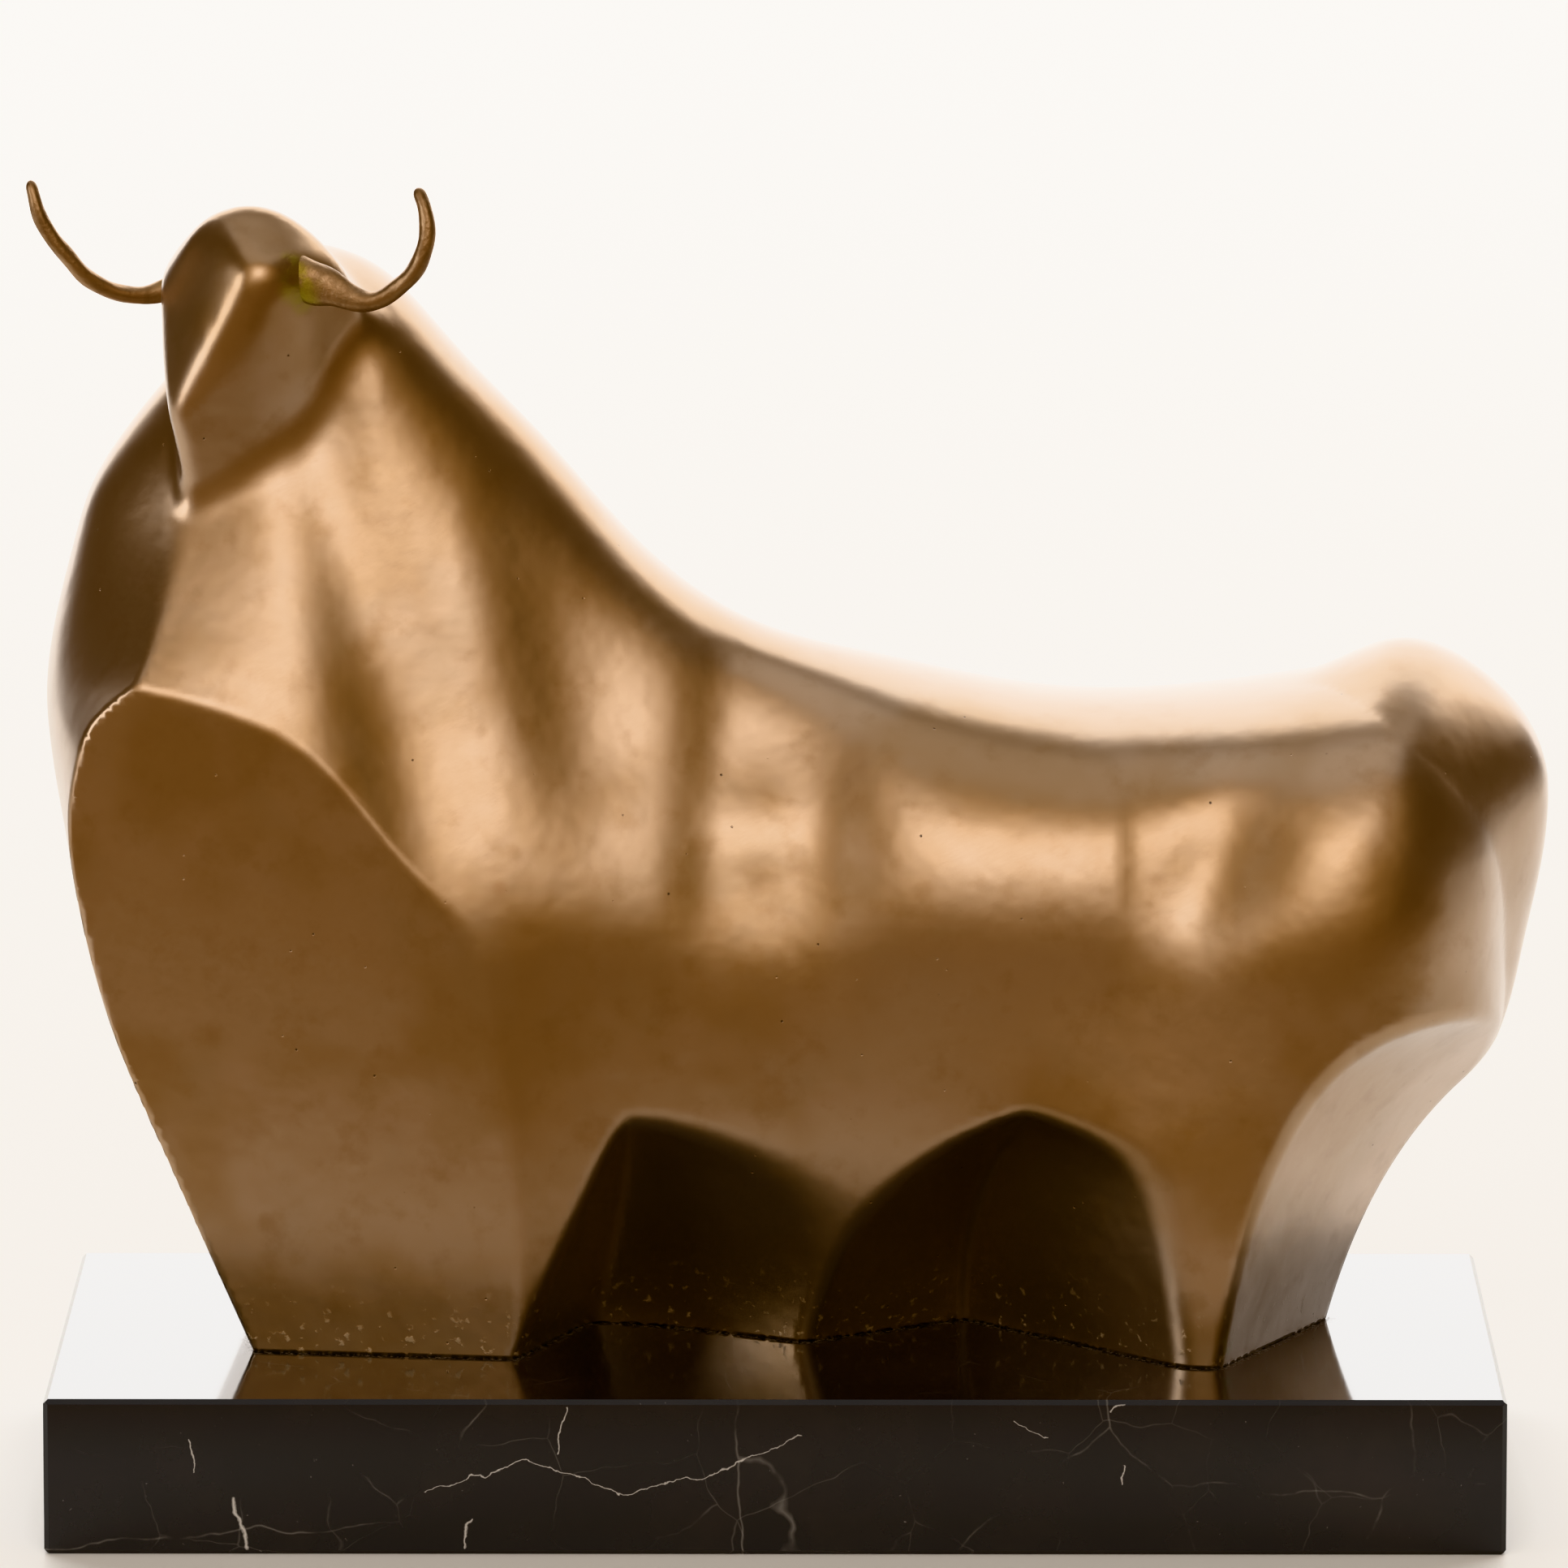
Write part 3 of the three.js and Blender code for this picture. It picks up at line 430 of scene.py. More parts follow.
def over_crown(points):
    """Distance above the crown: rounded across, and along it a roof with a rounded top."""
    x, y, z = np.moveaxis(points - np.array(CROWN["centre"], float), -1, 0)
    mean = (CROWN["slope_front"] + CROWN["slope_back"]) / 2
    lean = CROWN["slope_back"] - mean
    edge = length(y, CROWN["edge"])
    height = z + x ** 2 / (2 * CROWN["curve_x"]) + mean * (edge - CROWN["edge"]) + lean * y
    return height / length(1, x / CROWN["curve_x"], mean * y / edge + lean)


def head(points):
    """Head: the slices, cut off by the crown above and by cheek and jaw at the near side."""
    outside = soft_max(forehead(points), over_crown(points), CROWN["softness"])
    cheek = soft_max(beyond_plane(points, CHEEK), beyond_plane(points, JAW_SIDE), CHEEK_SOFTNESS[1])
    return soft_max(outside, cheek, CHEEK_SOFTNESS[0])


def bull(points):
    """The whole casting: the trunk, joined with the head where the head can reach."""
    outside = trunk(points)
    near = ((points > HEAD_LOW) & (points < HEAD_HIGH)).all(-1)
    if near.any():
        outside[near] = soft_min(outside[near], head(points[near]), NECK_SOFTNESS)
    return outside


# Meshing

def in_blocks(field, points, block=150_000):
    """Field at many points, worked out a block at a time to save memory."""
    parts = [field(points[i:i + block]) for i in range(0, len(points), block)]
    return np.concatenate(parts) if parts else np.zeros(0)


def slope_of(field, points, e, level=False):
    """Slope of the field by differences over 2e; without its upward part if level."""
    slope = np.zeros(points.shape)
    for axis in range(2 if level else 3):
        step = e * np.eye(3)[axis]
        slope[:, axis] = (in_blocks(field, points + step) - in_blocks(field, points - step)) / (2 * e)
    return slope


def move_onto(field, points, steps, cap, level=False):
    """Points moved down the slope until they lie on the surface, by at most cap a step."""
    for _ in range(steps):
        slope = slope_of(field, points, e=0.05, level=level)
        step = (in_blocks(field, points) / (np.square(slope).sum(1) + 1e-3))[:, None] * slope
        size = np.linalg.norm(step, axis=1, keepdims=True)
        points = points - step * np.minimum(1, cap / np.maximum(size, 1e-9))
    return points


COARSE = 4  # fine cells in a coarse one


def sample_grid(field, low, cell, count):
    """Field on a grid: worked out on a coarse one, and at the fine grid's points where the surface is near."""
    coarse_count = -(-count // COARSE)
    axes = [low[i] + cell * (COARSE * np.arange(coarse_count[i]) + (COARSE - 1) / 2) for i in range(3)]
    centres = np.stack(np.meshgrid(*axes, indexing="ij"), -1).reshape(-1, 3)
    values = in_blocks(field, centres).reshape(coarse_count)
    for axis in range(3):
        values = np.repeat(values, COARSE, axis)
    values = values[:count[0], :count[1], :count[2]].copy()
    half_diagonal = math.sqrt(3) * COARSE * cell / 2
    reach = 1.6 * half_diagonal
    near = np.argwhere(np.abs(values) < reach)
    values[tuple(near.T)] = in_blocks(field, low + cell * near)
    return values


def surface_points(values, low, cell):
    """One point for each cell that the surface passes: the mean of where it crosses the cell's edges."""
    inside = values < 0
    count = np.array(values.shape)
    corners = np.array([(a, b, c) for a in (0, 1) for b in (0, 1) for c in (0, 1)])
    within = sum(
        inside[a:count[0] - 1 + a, b:count[1] - 1 + b, c:count[2] - 1 + c].astype(np.int8)
        for a, b, c in corners
    )
    cells = np.argwhere((within > 0) & (within < 8))
    index = -np.ones(count - 1, np.int64)
    index[tuple(cells.T)] = np.arange(len(cells))
    total = np.zeros((len(cells), 3))
    crossings = np.zeros(len(cells))
    for corner in corners:
        for axis in range(3):
            if corner[axis]:
                continue
            other = corner + np.eye(3, dtype=int)[axis]
            here = values[tuple((cells + corner).T)]
            there = values[tuple((cells + other).T)]
            crossed = (here < 0) != (there < 0)
            share = here[crossed] / (here[crossed] - there[crossed])
            total[crossed] += cells[crossed] + corner + share[:, None] * (other - corner)
            crossings[crossed] += 1
    return low + cell * total / crossings[:, None], index


def surface_faces(values, index):
    """A four-sided face around each grid edge that the surface crosses, turned to face outwards."""
    inside = values < 0
    count = np.array(values.shape)
    faces = []
    for axis in range(3):
        b, c = (axis + 1) % 3, (axis + 2) % 3
        first = np.moveaxis(inside, axis, 0)[:-1]
        second = np.moveaxis(inside, axis, 0)[1:]
        crossed = np.moveaxis(first != second, 0, axis)
        edges = np.argwhere(crossed)
        kept = (edges[:, b] > 0) & (edges[:, c] > 0)
        kept &= (edges[:, b] < count[b] - 1) & (edges[:, c] < count[c] - 1)
        edges = edges[kept]
        outward = inside[tuple(edges.T)]
        around = []
        for back_b, back_c in ((1, 1), (0, 1), (0, 0), (1, 0)):
            corner = edges.copy()
            corner[:, b] -= back_b
            corner[:, c] -= back_c
            around.append(index[tuple(corner.T)])
        quads = np.stack(around, 1)
        quads[~outward] = quads[~outward][:, ::-1]
        faces.append(quads)
    return np.concatenate(faces)


OVER_SOLE = 0.02  # no point beside the sole's lies lower than this above the ground


def surface_mesh(field, low, high, cell, ground):
    """Closed mesh of the space where field is negative above the ground, with a flat sole.

    The surface isn't a sheet over two parameters, because head and neck fold over, so it is found on a grid
    in space, and each point is then moved onto it. Returns points, faces and which points are the sole's.
    """
    low = np.array([low[0], low[1], ground - 2 * cell])
    count = np.ceil((np.array(high) - low) / cell).astype(int) + 1
    values = sample_grid(field, low, cell, count)
    values[:, :, 0:2] = 1
    points, index = surface_points(values, low, cell)
    faces = surface_faces(values, index)

    sole = points[:, 2] < ground
    rim = np.zeros(len(points), bool)
    rim[faces[(~sole[faces]).any(1)].ravel()] = True
    rim &= sole
    points[sole, 2] = ground
    points[~sole] = move_onto(field, points[~sole], steps=4, cap=1.0)
    points[rim] = move_onto(field, points[rim], steps=8, cap=cell / 2, level=True)
    points[~sole, 2] = np.maximum(points[~sole, 2], ground + OVER_SOLE)
    return points, faces, sole


def make_object(name, points, faces, material, normals=None):
    """Mesh object from points in millimetres, smooth, with its own normals where they are given."""
    mesh = bpy.data.meshes.new(name)
    mesh.from_pydata((points * MM).tolist(), [], faces.tolist())
    mesh.polygons.foreach_set("use_smooth", np.ones(len(faces), bool))
    mesh.update()
    mesh.materials.append(material)
    if normals is not None:
        mesh.normals_split_custom_set_from_vertices(normals.tolist())
    piece = bpy.data.objects.new(name, mesh)
    bpy.context.scene.collection.objects.link(piece)
    return piece


def set_attribute(piece, name, values):
    """Number for each point, which materials read by its name."""
    attribute = piece.data.attributes.new(name, "FLOAT", "POINT")
    attribute.data.foreach_set("value", values.astype(np.float32))


def stand_for(piece, node):
    """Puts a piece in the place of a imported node."""
    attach(piece, BODY)
    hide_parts(node)


# Horns: centre line, radius and how flat the section is from front to back, root to tip

NEAR_HORN = [
    (-125, -27.5, 317.5, 6.2, 0.6),
    (-117, -30, 316.2, 5.6, 0.6),
    (-109.5, -32.5, 313.6, 3.8, 0.7),
    (-103, -34.5, 312, 2.6, 0.9),
    (-97.3, -36, 314.6, 2.3, 1),
    (-91.9, -38, 319.6, 2.3, 1),
    (-88.6, -38.5, 327, 2.2, 1),
    (-88.2, -38, 333.5, 2, 1),
    (-90.8, -36, 341.2, 1.5, 1),
]
FAR_HORN = [
    (-145, -3, 311.5, 4.2, 0.8),
    (-153, -4, 311.4, 3.4, 0.8),
    (-161.5, -6, 309.9, 2.4, 0.9),
    (-168.5, -9, 311, 2.2, 1),
    (-175.5, -12, 315, 2.2, 1),
    (-181, -14, 321.3, 2.1, 1),
    (-186, -15, 328.2, 2, 1),
    (-188.5, -15, 334.5, 1.8, 1),
    (-190, -14, 340.4, 1.3, 1),
]
TIP_ROUNDING = 0.03  # share of the length that closes the tip
TIP_RINGS = 6


def horn_mesh(stops, rings, sides, unevenness):
    """Round rod along a curve: rings across it whose radius follows the stops, with a closed root and tip.

    The radius is made uneven by a few slow waves around and along, as in a hand-forged rod.
    """
    stops = np.array(stops, float)
    steps = np.linalg.norm(np.diff(stops[:, :3], axis=0), axis=1)
    at = np.concatenate([[0], np.cumsum(steps)]) / steps.sum()
    shaft = np.linspace(0, 1 - TIP_ROUNDING, rings - TIP_RINGS)
    end = 1 - TIP_ROUNDING * np.linspace(0.8, 0, TIP_RINGS) ** 2
    t = np.concatenate([shaft, end])
    row, slope = curve(at, stops)(t)
    centre, radius, flat = row[:, :3], row[:, 3], row[:, 4]
    forward = slope[:, :3] / np.linalg.norm(slope[:, :3], axis=1, keepdims=True)
    rise = np.cross(forward, [0, 1, 0])
    rise /= np.linalg.norm(rise, axis=1, keepdims=True)
    deep = np.cross(rise, forward)
    closing = np.clip((1 - t) / TIP_ROUNDING, 0, 1)
    radius = radius * np.sqrt(1 - (1 - closing) ** 2)
    angle = np.linspace(0, 2 * np.pi, sides, endpoint=False)
    wave = np.sin(3 * angle + 9 * t[:, None]) * np.sin(31 * t[:, None])
    wave += 0.6 * np.sin(2 * angle + 40 * t[:, None])
    size = radius[:, None] * (1 + unevenness * wave)
    points = centre[:, None] + size[..., None] * (
        np.cos(angle)[None, :, None] * rise[:, None]
        + (np.sin(angle) * flat[:, None])[..., None] * deep[:, None]
    )
    points = np.concatenate([points[:-1].reshape(-1, 3), centre[-1:], centre[:1]])
    around = np.arange(sides)
    after = (around + 1) % sides
    start = sides * np.arange(rings - 2)[:, None]
    quads = np.stack([start + around, start + after, start + sides + after, start + sides + around], -1)
    last = sides * (rings - 2)
    tip, root = len(points) - 2, len(points) - 1
    tip_faces = np.stack([last + around, last + after, np.full(sides, tip)], -1)
    root_faces = np.stack([after, around, np.full(sides, root)], -1)
    return points, quads.reshape(-1, 4).tolist() + tip_faces.tolist() + root_faces.tolist()


# Slab

def slab_lines(half, bevel, spacing):
    """Grid lines along one half side: evenly spaced, with closer ones over the bevel."""
    inner = half - bevel
    even = np.linspace(0, inner, max(2, round(inner / spacing)) + 1)
    edge = half - bevel * np.array([0.75, 0.5, 0.25, 0])
    side = np.concatenate([even, edge])
    return np.concatenate([-side[:0:-1], side])


def slab_mesh(size, bevel, spacing):
    """Closed block: six grids that share their edges, with each edge cut off at 45 degrees by the bevel.

    Where two sides' depths into the bevel add up to more than its width, both lose half the excess.
    """
    half = np.array(size) / 2
    lines = [slab_lines(h, bevel, spacing) for h in half]
    points, faces = [], []
    start = 0
    for axis in range(3):
        b, c = (axis + 1) % 3, (axis + 2) % 3
        for side in (-1, 1):
            u, v = np.meshgrid(lines[b], lines[c], indexing="ij")
            grid = np.empty(u.shape + (3,))
            grid[..., axis], grid[..., b], grid[..., c] = side * half[axis], u, v
            index = start + np.arange(u.size).reshape(u.shape)
            corners = [index[:-1, :-1], index[1:, :-1], index[1:, 1:], index[:-1, 1:]]
            quads = np.stack(corners, -1).reshape(-1, 4)
            faces.append(quads if side > 0 else quads[:, ::-1])
            points.append(grid.reshape(-1, 3))
            start += u.size
    points, faces = np.concatenate(points), np.concatenate(faces)
    for first, second in ((0, 1), (1, 2), (0, 2)):
        into = [np.maximum(np.abs(points[:, i]) - half[i] + bevel, 0) for i in (first, second)]
        excess = np.maximum(into[0] + into[1] - bevel, 0) / 2
        for i in (first, second):
            points[:, i] -= np.sign(points[:, i]) * excess
    _, kept, same = np.unique(points.round(4), axis=0, return_index=True, return_inverse=True)
    points, faces = points[kept], same.reshape(-1)[faces]
    whole = np.array([len(set(face)) == 4 for face in faces.tolist()])
    return points, faces[whole]


# Materials

FACTOR, COLOUR_A, COLOUR_B, COLOUR_OUT = 0, 6, 7, 2  # sockets of a colour mix, whose names aren't unique


def linear(colour):
    """sRGB hex colour as linear red, green and blue."""
    parts = [int(colour[i:i + 2], 16) / 255 for i in (1, 3, 5)]
    return tuple(p / 12.92 if p <= 0.04045 else ((p + 0.055) / 1.055) ** 2.4 for p in parts)


def add(tree, kind, inputs=None, **settings):
    """One node with its settings; each input is linked if its value is a socket, and set if not."""
    node = tree.nodes.new(kind)
    for name, value in settings.items():
        setattr(node, name, value)
    for name, value in (inputs or {}).items():
        socket = node.inputs[name]
        if isinstance(value, bpy.types.NodeSocket):
            tree.links.new(value, socket)
        else:
            socket.default_value = value
    return node


def new_material(name):
    """Empty material, its shader and its Object coordinates in millimetres."""
    material = bpy.data.materials.new(name)
    material.use_nodes = True
    tree = material.node_tree
    shader = tree.nodes["Principled BSDF"]
    coordinates = add(tree, "ShaderNodeTexCoord")
    place = add(tree, "ShaderNodeMapping", {"Vector": coordinates.outputs["Object"], "Scale": (1 / MM,) * 3})
    return material, tree, shader, place.outputs["Vector"]


def blotches(tree, place, size, low, high, detail=3.0, seed=0.0):
    """Soft blotches of about this size in millimetres: 0 where the noise is under low, 1 where over high."""
    noise = add(
        tree, "ShaderNodeTexNoise",
        {"Vector": place, "W": seed, "Scale": 1 / size, "Detail": detail, "Roughness": 0.55},
        noise_dimensions="4D",
    )
    shaped = add(
        tree, "ShaderNodeMapRange",
        {"Value": noise.outputs["Fac"], "From Min": low, "From Max": high},
        interpolation_type="SMOOTHSTEP",
    )
    return shaped.outputs["Result"]


def around_point(tree, place, centre, inner, outer):
    """1 within inner millimetres of a point, falling to 0 at outer."""
    away = add(tree, "ShaderNodeVectorMath", {0: place, 1: centre}, operation="DISTANCE")
    near = add(
        tree, "ShaderNodeMapRange",
        {"Value": away.outputs["Value"], "From Min": outer, "From Max": inner},
        interpolation_type="SMOOTHSTEP",
    )
    return near.outputs["Result"]


def along_line(tree, place, start, end, thickness):
    """1 on a straight line between two points, falling to 0 at half its thickness."""
    axis = Vector(end) - Vector(start)
    offset = add(tree, "ShaderNodeVectorMath", {0: place, 1: start}, operation="SUBTRACT")
    along = add(
        tree, "ShaderNodeVectorMath",
        {0: offset.outputs["Vector"], 1: axis / axis.length_squared}, operation="DOT_PRODUCT",
    )
    share = add(tree, "ShaderNodeClamp", {"Value": along.outputs["Value"]})
    foot = add(tree, "ShaderNodeVectorMath", {0: axis, "Scale": share.outputs["Result"]}, operation="SCALE")
    away = add(
        tree, "ShaderNodeVectorMath",
        {0: offset.outputs["Vector"], 1: foot.outputs["Vector"]}, operation="DISTANCE",
    )
    near = add(
        tree, "ShaderNodeMapRange",
        {"Value": away.outputs["Value"], "From Min": thickness / 2, "From Max": 0},
    )
    return near.outputs["Result"]


class Finish:
    """Colour, roughness, metal share and height of a surface, built up layer over layer."""

    def __init__(self, tree, colour, roughness, metallic):
        self.tree = tree
        self.colour = colour
        self.roughness = roughness
        self.metallic = metallic
        self.height = 0.0

    def layer(self, mask, strength=1.0, colour=None, roughness=None, metallic=None):
        """Lays a colour, roughness or metal share over what is there, where the mask is."""
        scaled = add(
            self.tree, "ShaderNodeMath", {0: mask, 1: strength}, operation="MULTIPLY",
        ).outputs["Value"]
        if colour is not None:
            top = colour if isinstance(colour, bpy.types.NodeSocket) else (*linear(colour), 1)
            mix = add(
                self.tree, "ShaderNodeMix",
                {FACTOR: scaled, COLOUR_A: self.colour, COLOUR_B: top}, data_type="RGBA",
            )
            self.colour = mix.outputs[COLOUR_OUT]
        if roughness is not None:
            self.roughness = self.blend(scaled, self.roughness, roughness)
        if metallic is not None:
            self.metallic = self.blend(scaled, self.metallic, metallic)

    def blend(self, share, below, above):
        """Number that goes from below to above by the share."""
        return add(self.tree, "ShaderNodeMix", {0: share, 2: below, 3: above}, data_type="FLOAT").outputs[0]

    def raise_by(self, mask, height):
        """Adds to the surface's height, in millimetres; below zero for a dent."""
        self.height = add(
            self.tree, "ShaderNodeMath", {0: mask, 1: height, 2: self.height}, operation="MULTIPLY_ADD",
        ).outputs["Value"]

    def put_on(self, shader):
        """Links the layers to the shader, the height as a bump of real depth."""
        bump = add(self.tree, "ShaderNodeBump", {"Height": self.height, "Distance": MM})
        links = {
            "Base Color": self.colour, "Roughness": self.roughness, "Metallic": self.metallic,
            "Normal": bump.outputs["Normal"],
        }
        for name, value in links.items():
            if isinstance(value, bpy.types.NodeSocket):
                self.tree.links.new(value, shader.inputs[name])
            else:
                shader.inputs[name].default_value = value


# Marks on the bronze: where each is in millimetres, and within how far it is full and fades out
VERDIGRIS = [((121, -55, 44), 3, 9), ((139.8, -31, 67), 0.4, 1.3), ((127, -52, 57), 0.6, 3)]
BRAZE = [
    ((-121, -34, 316), 2, 7),
    ((-122, -33, 322), 1, 5),
    ((-119, -32, 311), 1, 5),
    ((-154, -6, 311), 1, 5),
]
STAINS = [((175, -30, 166.4), 2, 4.5), ((-70.4, -45, 163), 1.5, 3.5)]
RUST_DOTS = [((133.9, -54, 135.7), 0.3, 0.8), ((136.6, -54, 133.4), 0.3, 0.8)]
SCRATCHES = [  # from, to and how thick
    ((96, -57, 100), (126, -58, 118), 0.25),
    ((102, -57, 97), (129, -56, 126), 0.2),
    ((104, -57, 104), (118, -58, 107), 0.35),
    ((-52, -40, 236), (-47, -42, 214), 0.2),
    ((-104, -42, 205), (-86, -44, 160), 0.2),
]


def bronze_material(settings):
    """Cast bronze, ground and rubbed to a satin: golden where clean, browner where the patina has stayed.

    Fine rubbing lines run slantwise over a soft unevenness. Small casting pits are scattered, and folds are
    darker and rougher. The feet carry pale wax and plaster residue and a little verdigris, the horn roots brazing
    brass.
    """
    material, tree, shader, place = new_material("cast_bronze_satin")
    # A thin wax, which pales the metal where it is seen aslant.
    shader.inputs["Coat Weight"].default_value = 0.8
    shader.inputs["Coat Roughness"].default_value = 0.28
    finish = Finish(tree, (*settings.golden, 1), settings.roughness, 1.0)

    finish.layer(blotches(tree, place, 55, 0.42, 0.62, seed=1.0), 0.5, colour="#8c6a3c")
    finish.layer(blotches(tree, place, 30, 0.5, 0.68, seed=2.0), 0.35, colour="#a69078")
    small = blotches(tree, place, 9, 0.5, 0.75, detail=5.0, seed=3.0)
    finish.layer(small, 0.3, colour="#7f5a2a", roughness=0.4)

    # Rubbing lines: noise drawn out along a slanting direction. Real lines are under 0.1 mm, drawn at 0.3 mm.
    turned = add(tree, "ShaderNodeMapping", {"Vector": place, "Rotation": (0, math.radians(28), 0)})
    drawn = add(tree, "ShaderNodeMapping", {"Vector": turned.outputs["Vector"], "Scale": (0.09, 0.5, 1)})
    lines = add(tree, "ShaderNodeTexNoise", {"Vector": drawn.outputs["Vector"], "Scale": 3.2, "Detail": 2.0})
    finish.raise_by(lines.outputs["Fac"], 0.005)
    # Soft unevenness, left by the hand grinding.
    finish.raise_by(blotches(tree, place, 14, 0.3, 0.7, detail=2.0, seed=8.0), 0.1)
    rubbed = add(
        tree, "ShaderNodeMapRange", {"Value": lines.outputs["Fac"], "From Min": 0.35, "From Max": 0.65},
    ).outputs["Result"]
    finish.layer(rubbed, 0.35, roughness=settings.roughness + 0.1)

    # Casting pits, about 0.4 mm across and several millimetres apart.
    cells = add(tree, "ShaderNodeTexVoronoi", {"Vector": place, "Scale": 1 / 5.5, "Randomness": 1.0})
    pit = add(
        tree, "ShaderNodeMapRange", {"Value": cells.outputs["Distance"], "From Min": 0.07, "From Max": 0.03},
    ).outputs["Result"]
    some = blotches(tree, place, 14, 0.52, 0.6, seed=4.0)
    pits = add(tree, "ShaderNodeMath", {0: pit, 1: some}, operation="MULTIPLY").outputs["Value"]
    finish.layer(pits, 0.9, colour="#3a2413", roughness=0.6)
    finish.raise_by(pits, -0.15)

    # Darker, rougher colour in folds, from the hollowness of the surface.
    hollow = add(tree, "ShaderNodeAttribute", attribute_name="hollow").outputs["Fac"]
    fold = add(
        tree, "ShaderNodeMapRange", {"Value": hollow, "From Min": 0.12, "From Max": 0.45},
    ).outputs["Result"]
    finish.layer(fold, 0.35, colour="#5d3d20", roughness=0.5)

    for centre, inner, outer in STAINS:
        finish.layer(around_point(tree, place, centre, inner, outer), 0.35, colour="#7d4a10")
    for start, end, thickness in SCRATCHES:
        finish.layer(along_line(tree, place, start, end, thickness), 0.5, colour="#d8b78c", roughness=0.45)

    # Pale residue on the lowest 20 mm.
    height = add(tree, "ShaderNodeSeparateXYZ", {"Vector": place}).outputs["Z"]
    low = add(
        tree, "ShaderNodeMapRange", {"Value": height, "From Min": GROUND + 22, "From Max": GROUND},
    ).outputs["Result"]
    specks = blotches(tree, place, 2.4, 0.59, 0.68, detail=5.0, seed=5.0)
    residue = add(tree, "ShaderNodeMath", {0: low, 1: specks}, operation="MULTIPLY").outputs["Value"]
    finish.layer(residue, 0.6, colour="#c4b296", roughness=0.75, metallic=0.1)
    finish.raise_by(residue, 0.05)

    crumbly = blotches(tree, place, 3.2, 0.4, 0.6, detail=5.0, seed=6.0)
    for centre, inner, outer in VERDIGRIS:
        near = around_point(tree, place, centre, inner, outer)
        green = add(tree, "ShaderNodeMath", {0: near, 1: crumbly}, operation="MULTIPLY").outputs["Value"]
        finish.layer(green, 0.8, colour="#9fb58c", roughness=0.85, metallic=0.0)
        finish.raise_by(green, 0.12)
    for centre, inner, outer in RUST_DOTS:
        finish.layer(around_point(tree, place, centre, inner, outer), 0.9, colour="#d9661f", roughness=0.7)
    for centre, inner, outer in BRAZE:
        near = around_point(tree, place, centre, inner, outer)
        smeared = blotches(tree, place, 5, 0.3, 0.6, detail=5.0, seed=7.0)
        brass = add(tree, "ShaderNodeMath", {0: near, 1: smeared}, operation="MULTIPLY").outputs["Value"]
        finish.layer(brass, 0.8, colour="#9a8f35", roughness=0.42)
        finish.raise_by(brass, 0.1)

    finish.put_on(shader)
    return material


def horn_material(settings):
    """Bronze rod, hammered and filed but not polished: duller and browner, blotchy and finely rough."""
    material, tree, shader, place = new_material("forged_bronze_rod")
    finish = Finish(tree, (*settings.dull, 1), 0.42, 1.0)
    tarnish = blotches(tree, place, 6, 0.4, 0.65, detail=5.0, seed=11.0)
    finish.layer(tarnish, 0.6, colour="#6e5843", roughness=0.52)
    worn = blotches(tree, place, 2, 0.55, 0.7, detail=4.0, seed=12.0)
    finish.layer(worn, 0.5, colour="#a58c72", roughness=0.36)
    for centre, inner, outer in BRAZE:
        near = around_point(tree, place, centre, inner, outer)
        smeared = blotches(tree, place, 4, 0.35, 0.6, detail=5.0, seed=7.0)
        brass = add(tree, "ShaderNodeMath", {0: near, 1: smeared}, operation="MULTIPLY").outputs["Value"]
        finish.layer(brass, 0.7, colour="#9a8f35", roughness=0.45)
    finish.raise_by(blotches(tree, place, 1.2, 0.3, 0.7, detail=4.0, seed=13.0), 0.06)
    finish.put_on(shader)
    return material


# White veins in the stone: thickness, then the places (x, z) they pass on the front, which they wander around
FRONT_Y = -92.5
VEINS = [
    (0.5, (-148, 30), (-147, 21)),
    (1.3, (-137, 14), (-134, 2)),
    (0.6, (-77, 9.5), (-78, 1)),
    (0.5, (-53, 38), (-55, 26)),
    (0.35, (-89, 16), (-63, 24.5), (-39, 16), (-19, 20), (7, 31)),
    (0.6, (85, 37), (91, 39.5)),
    (0.4, (88, 24), (87, 18)),
    (0.3, (60, 35), (69, 30)),
]
VEIN_WANDER = 5


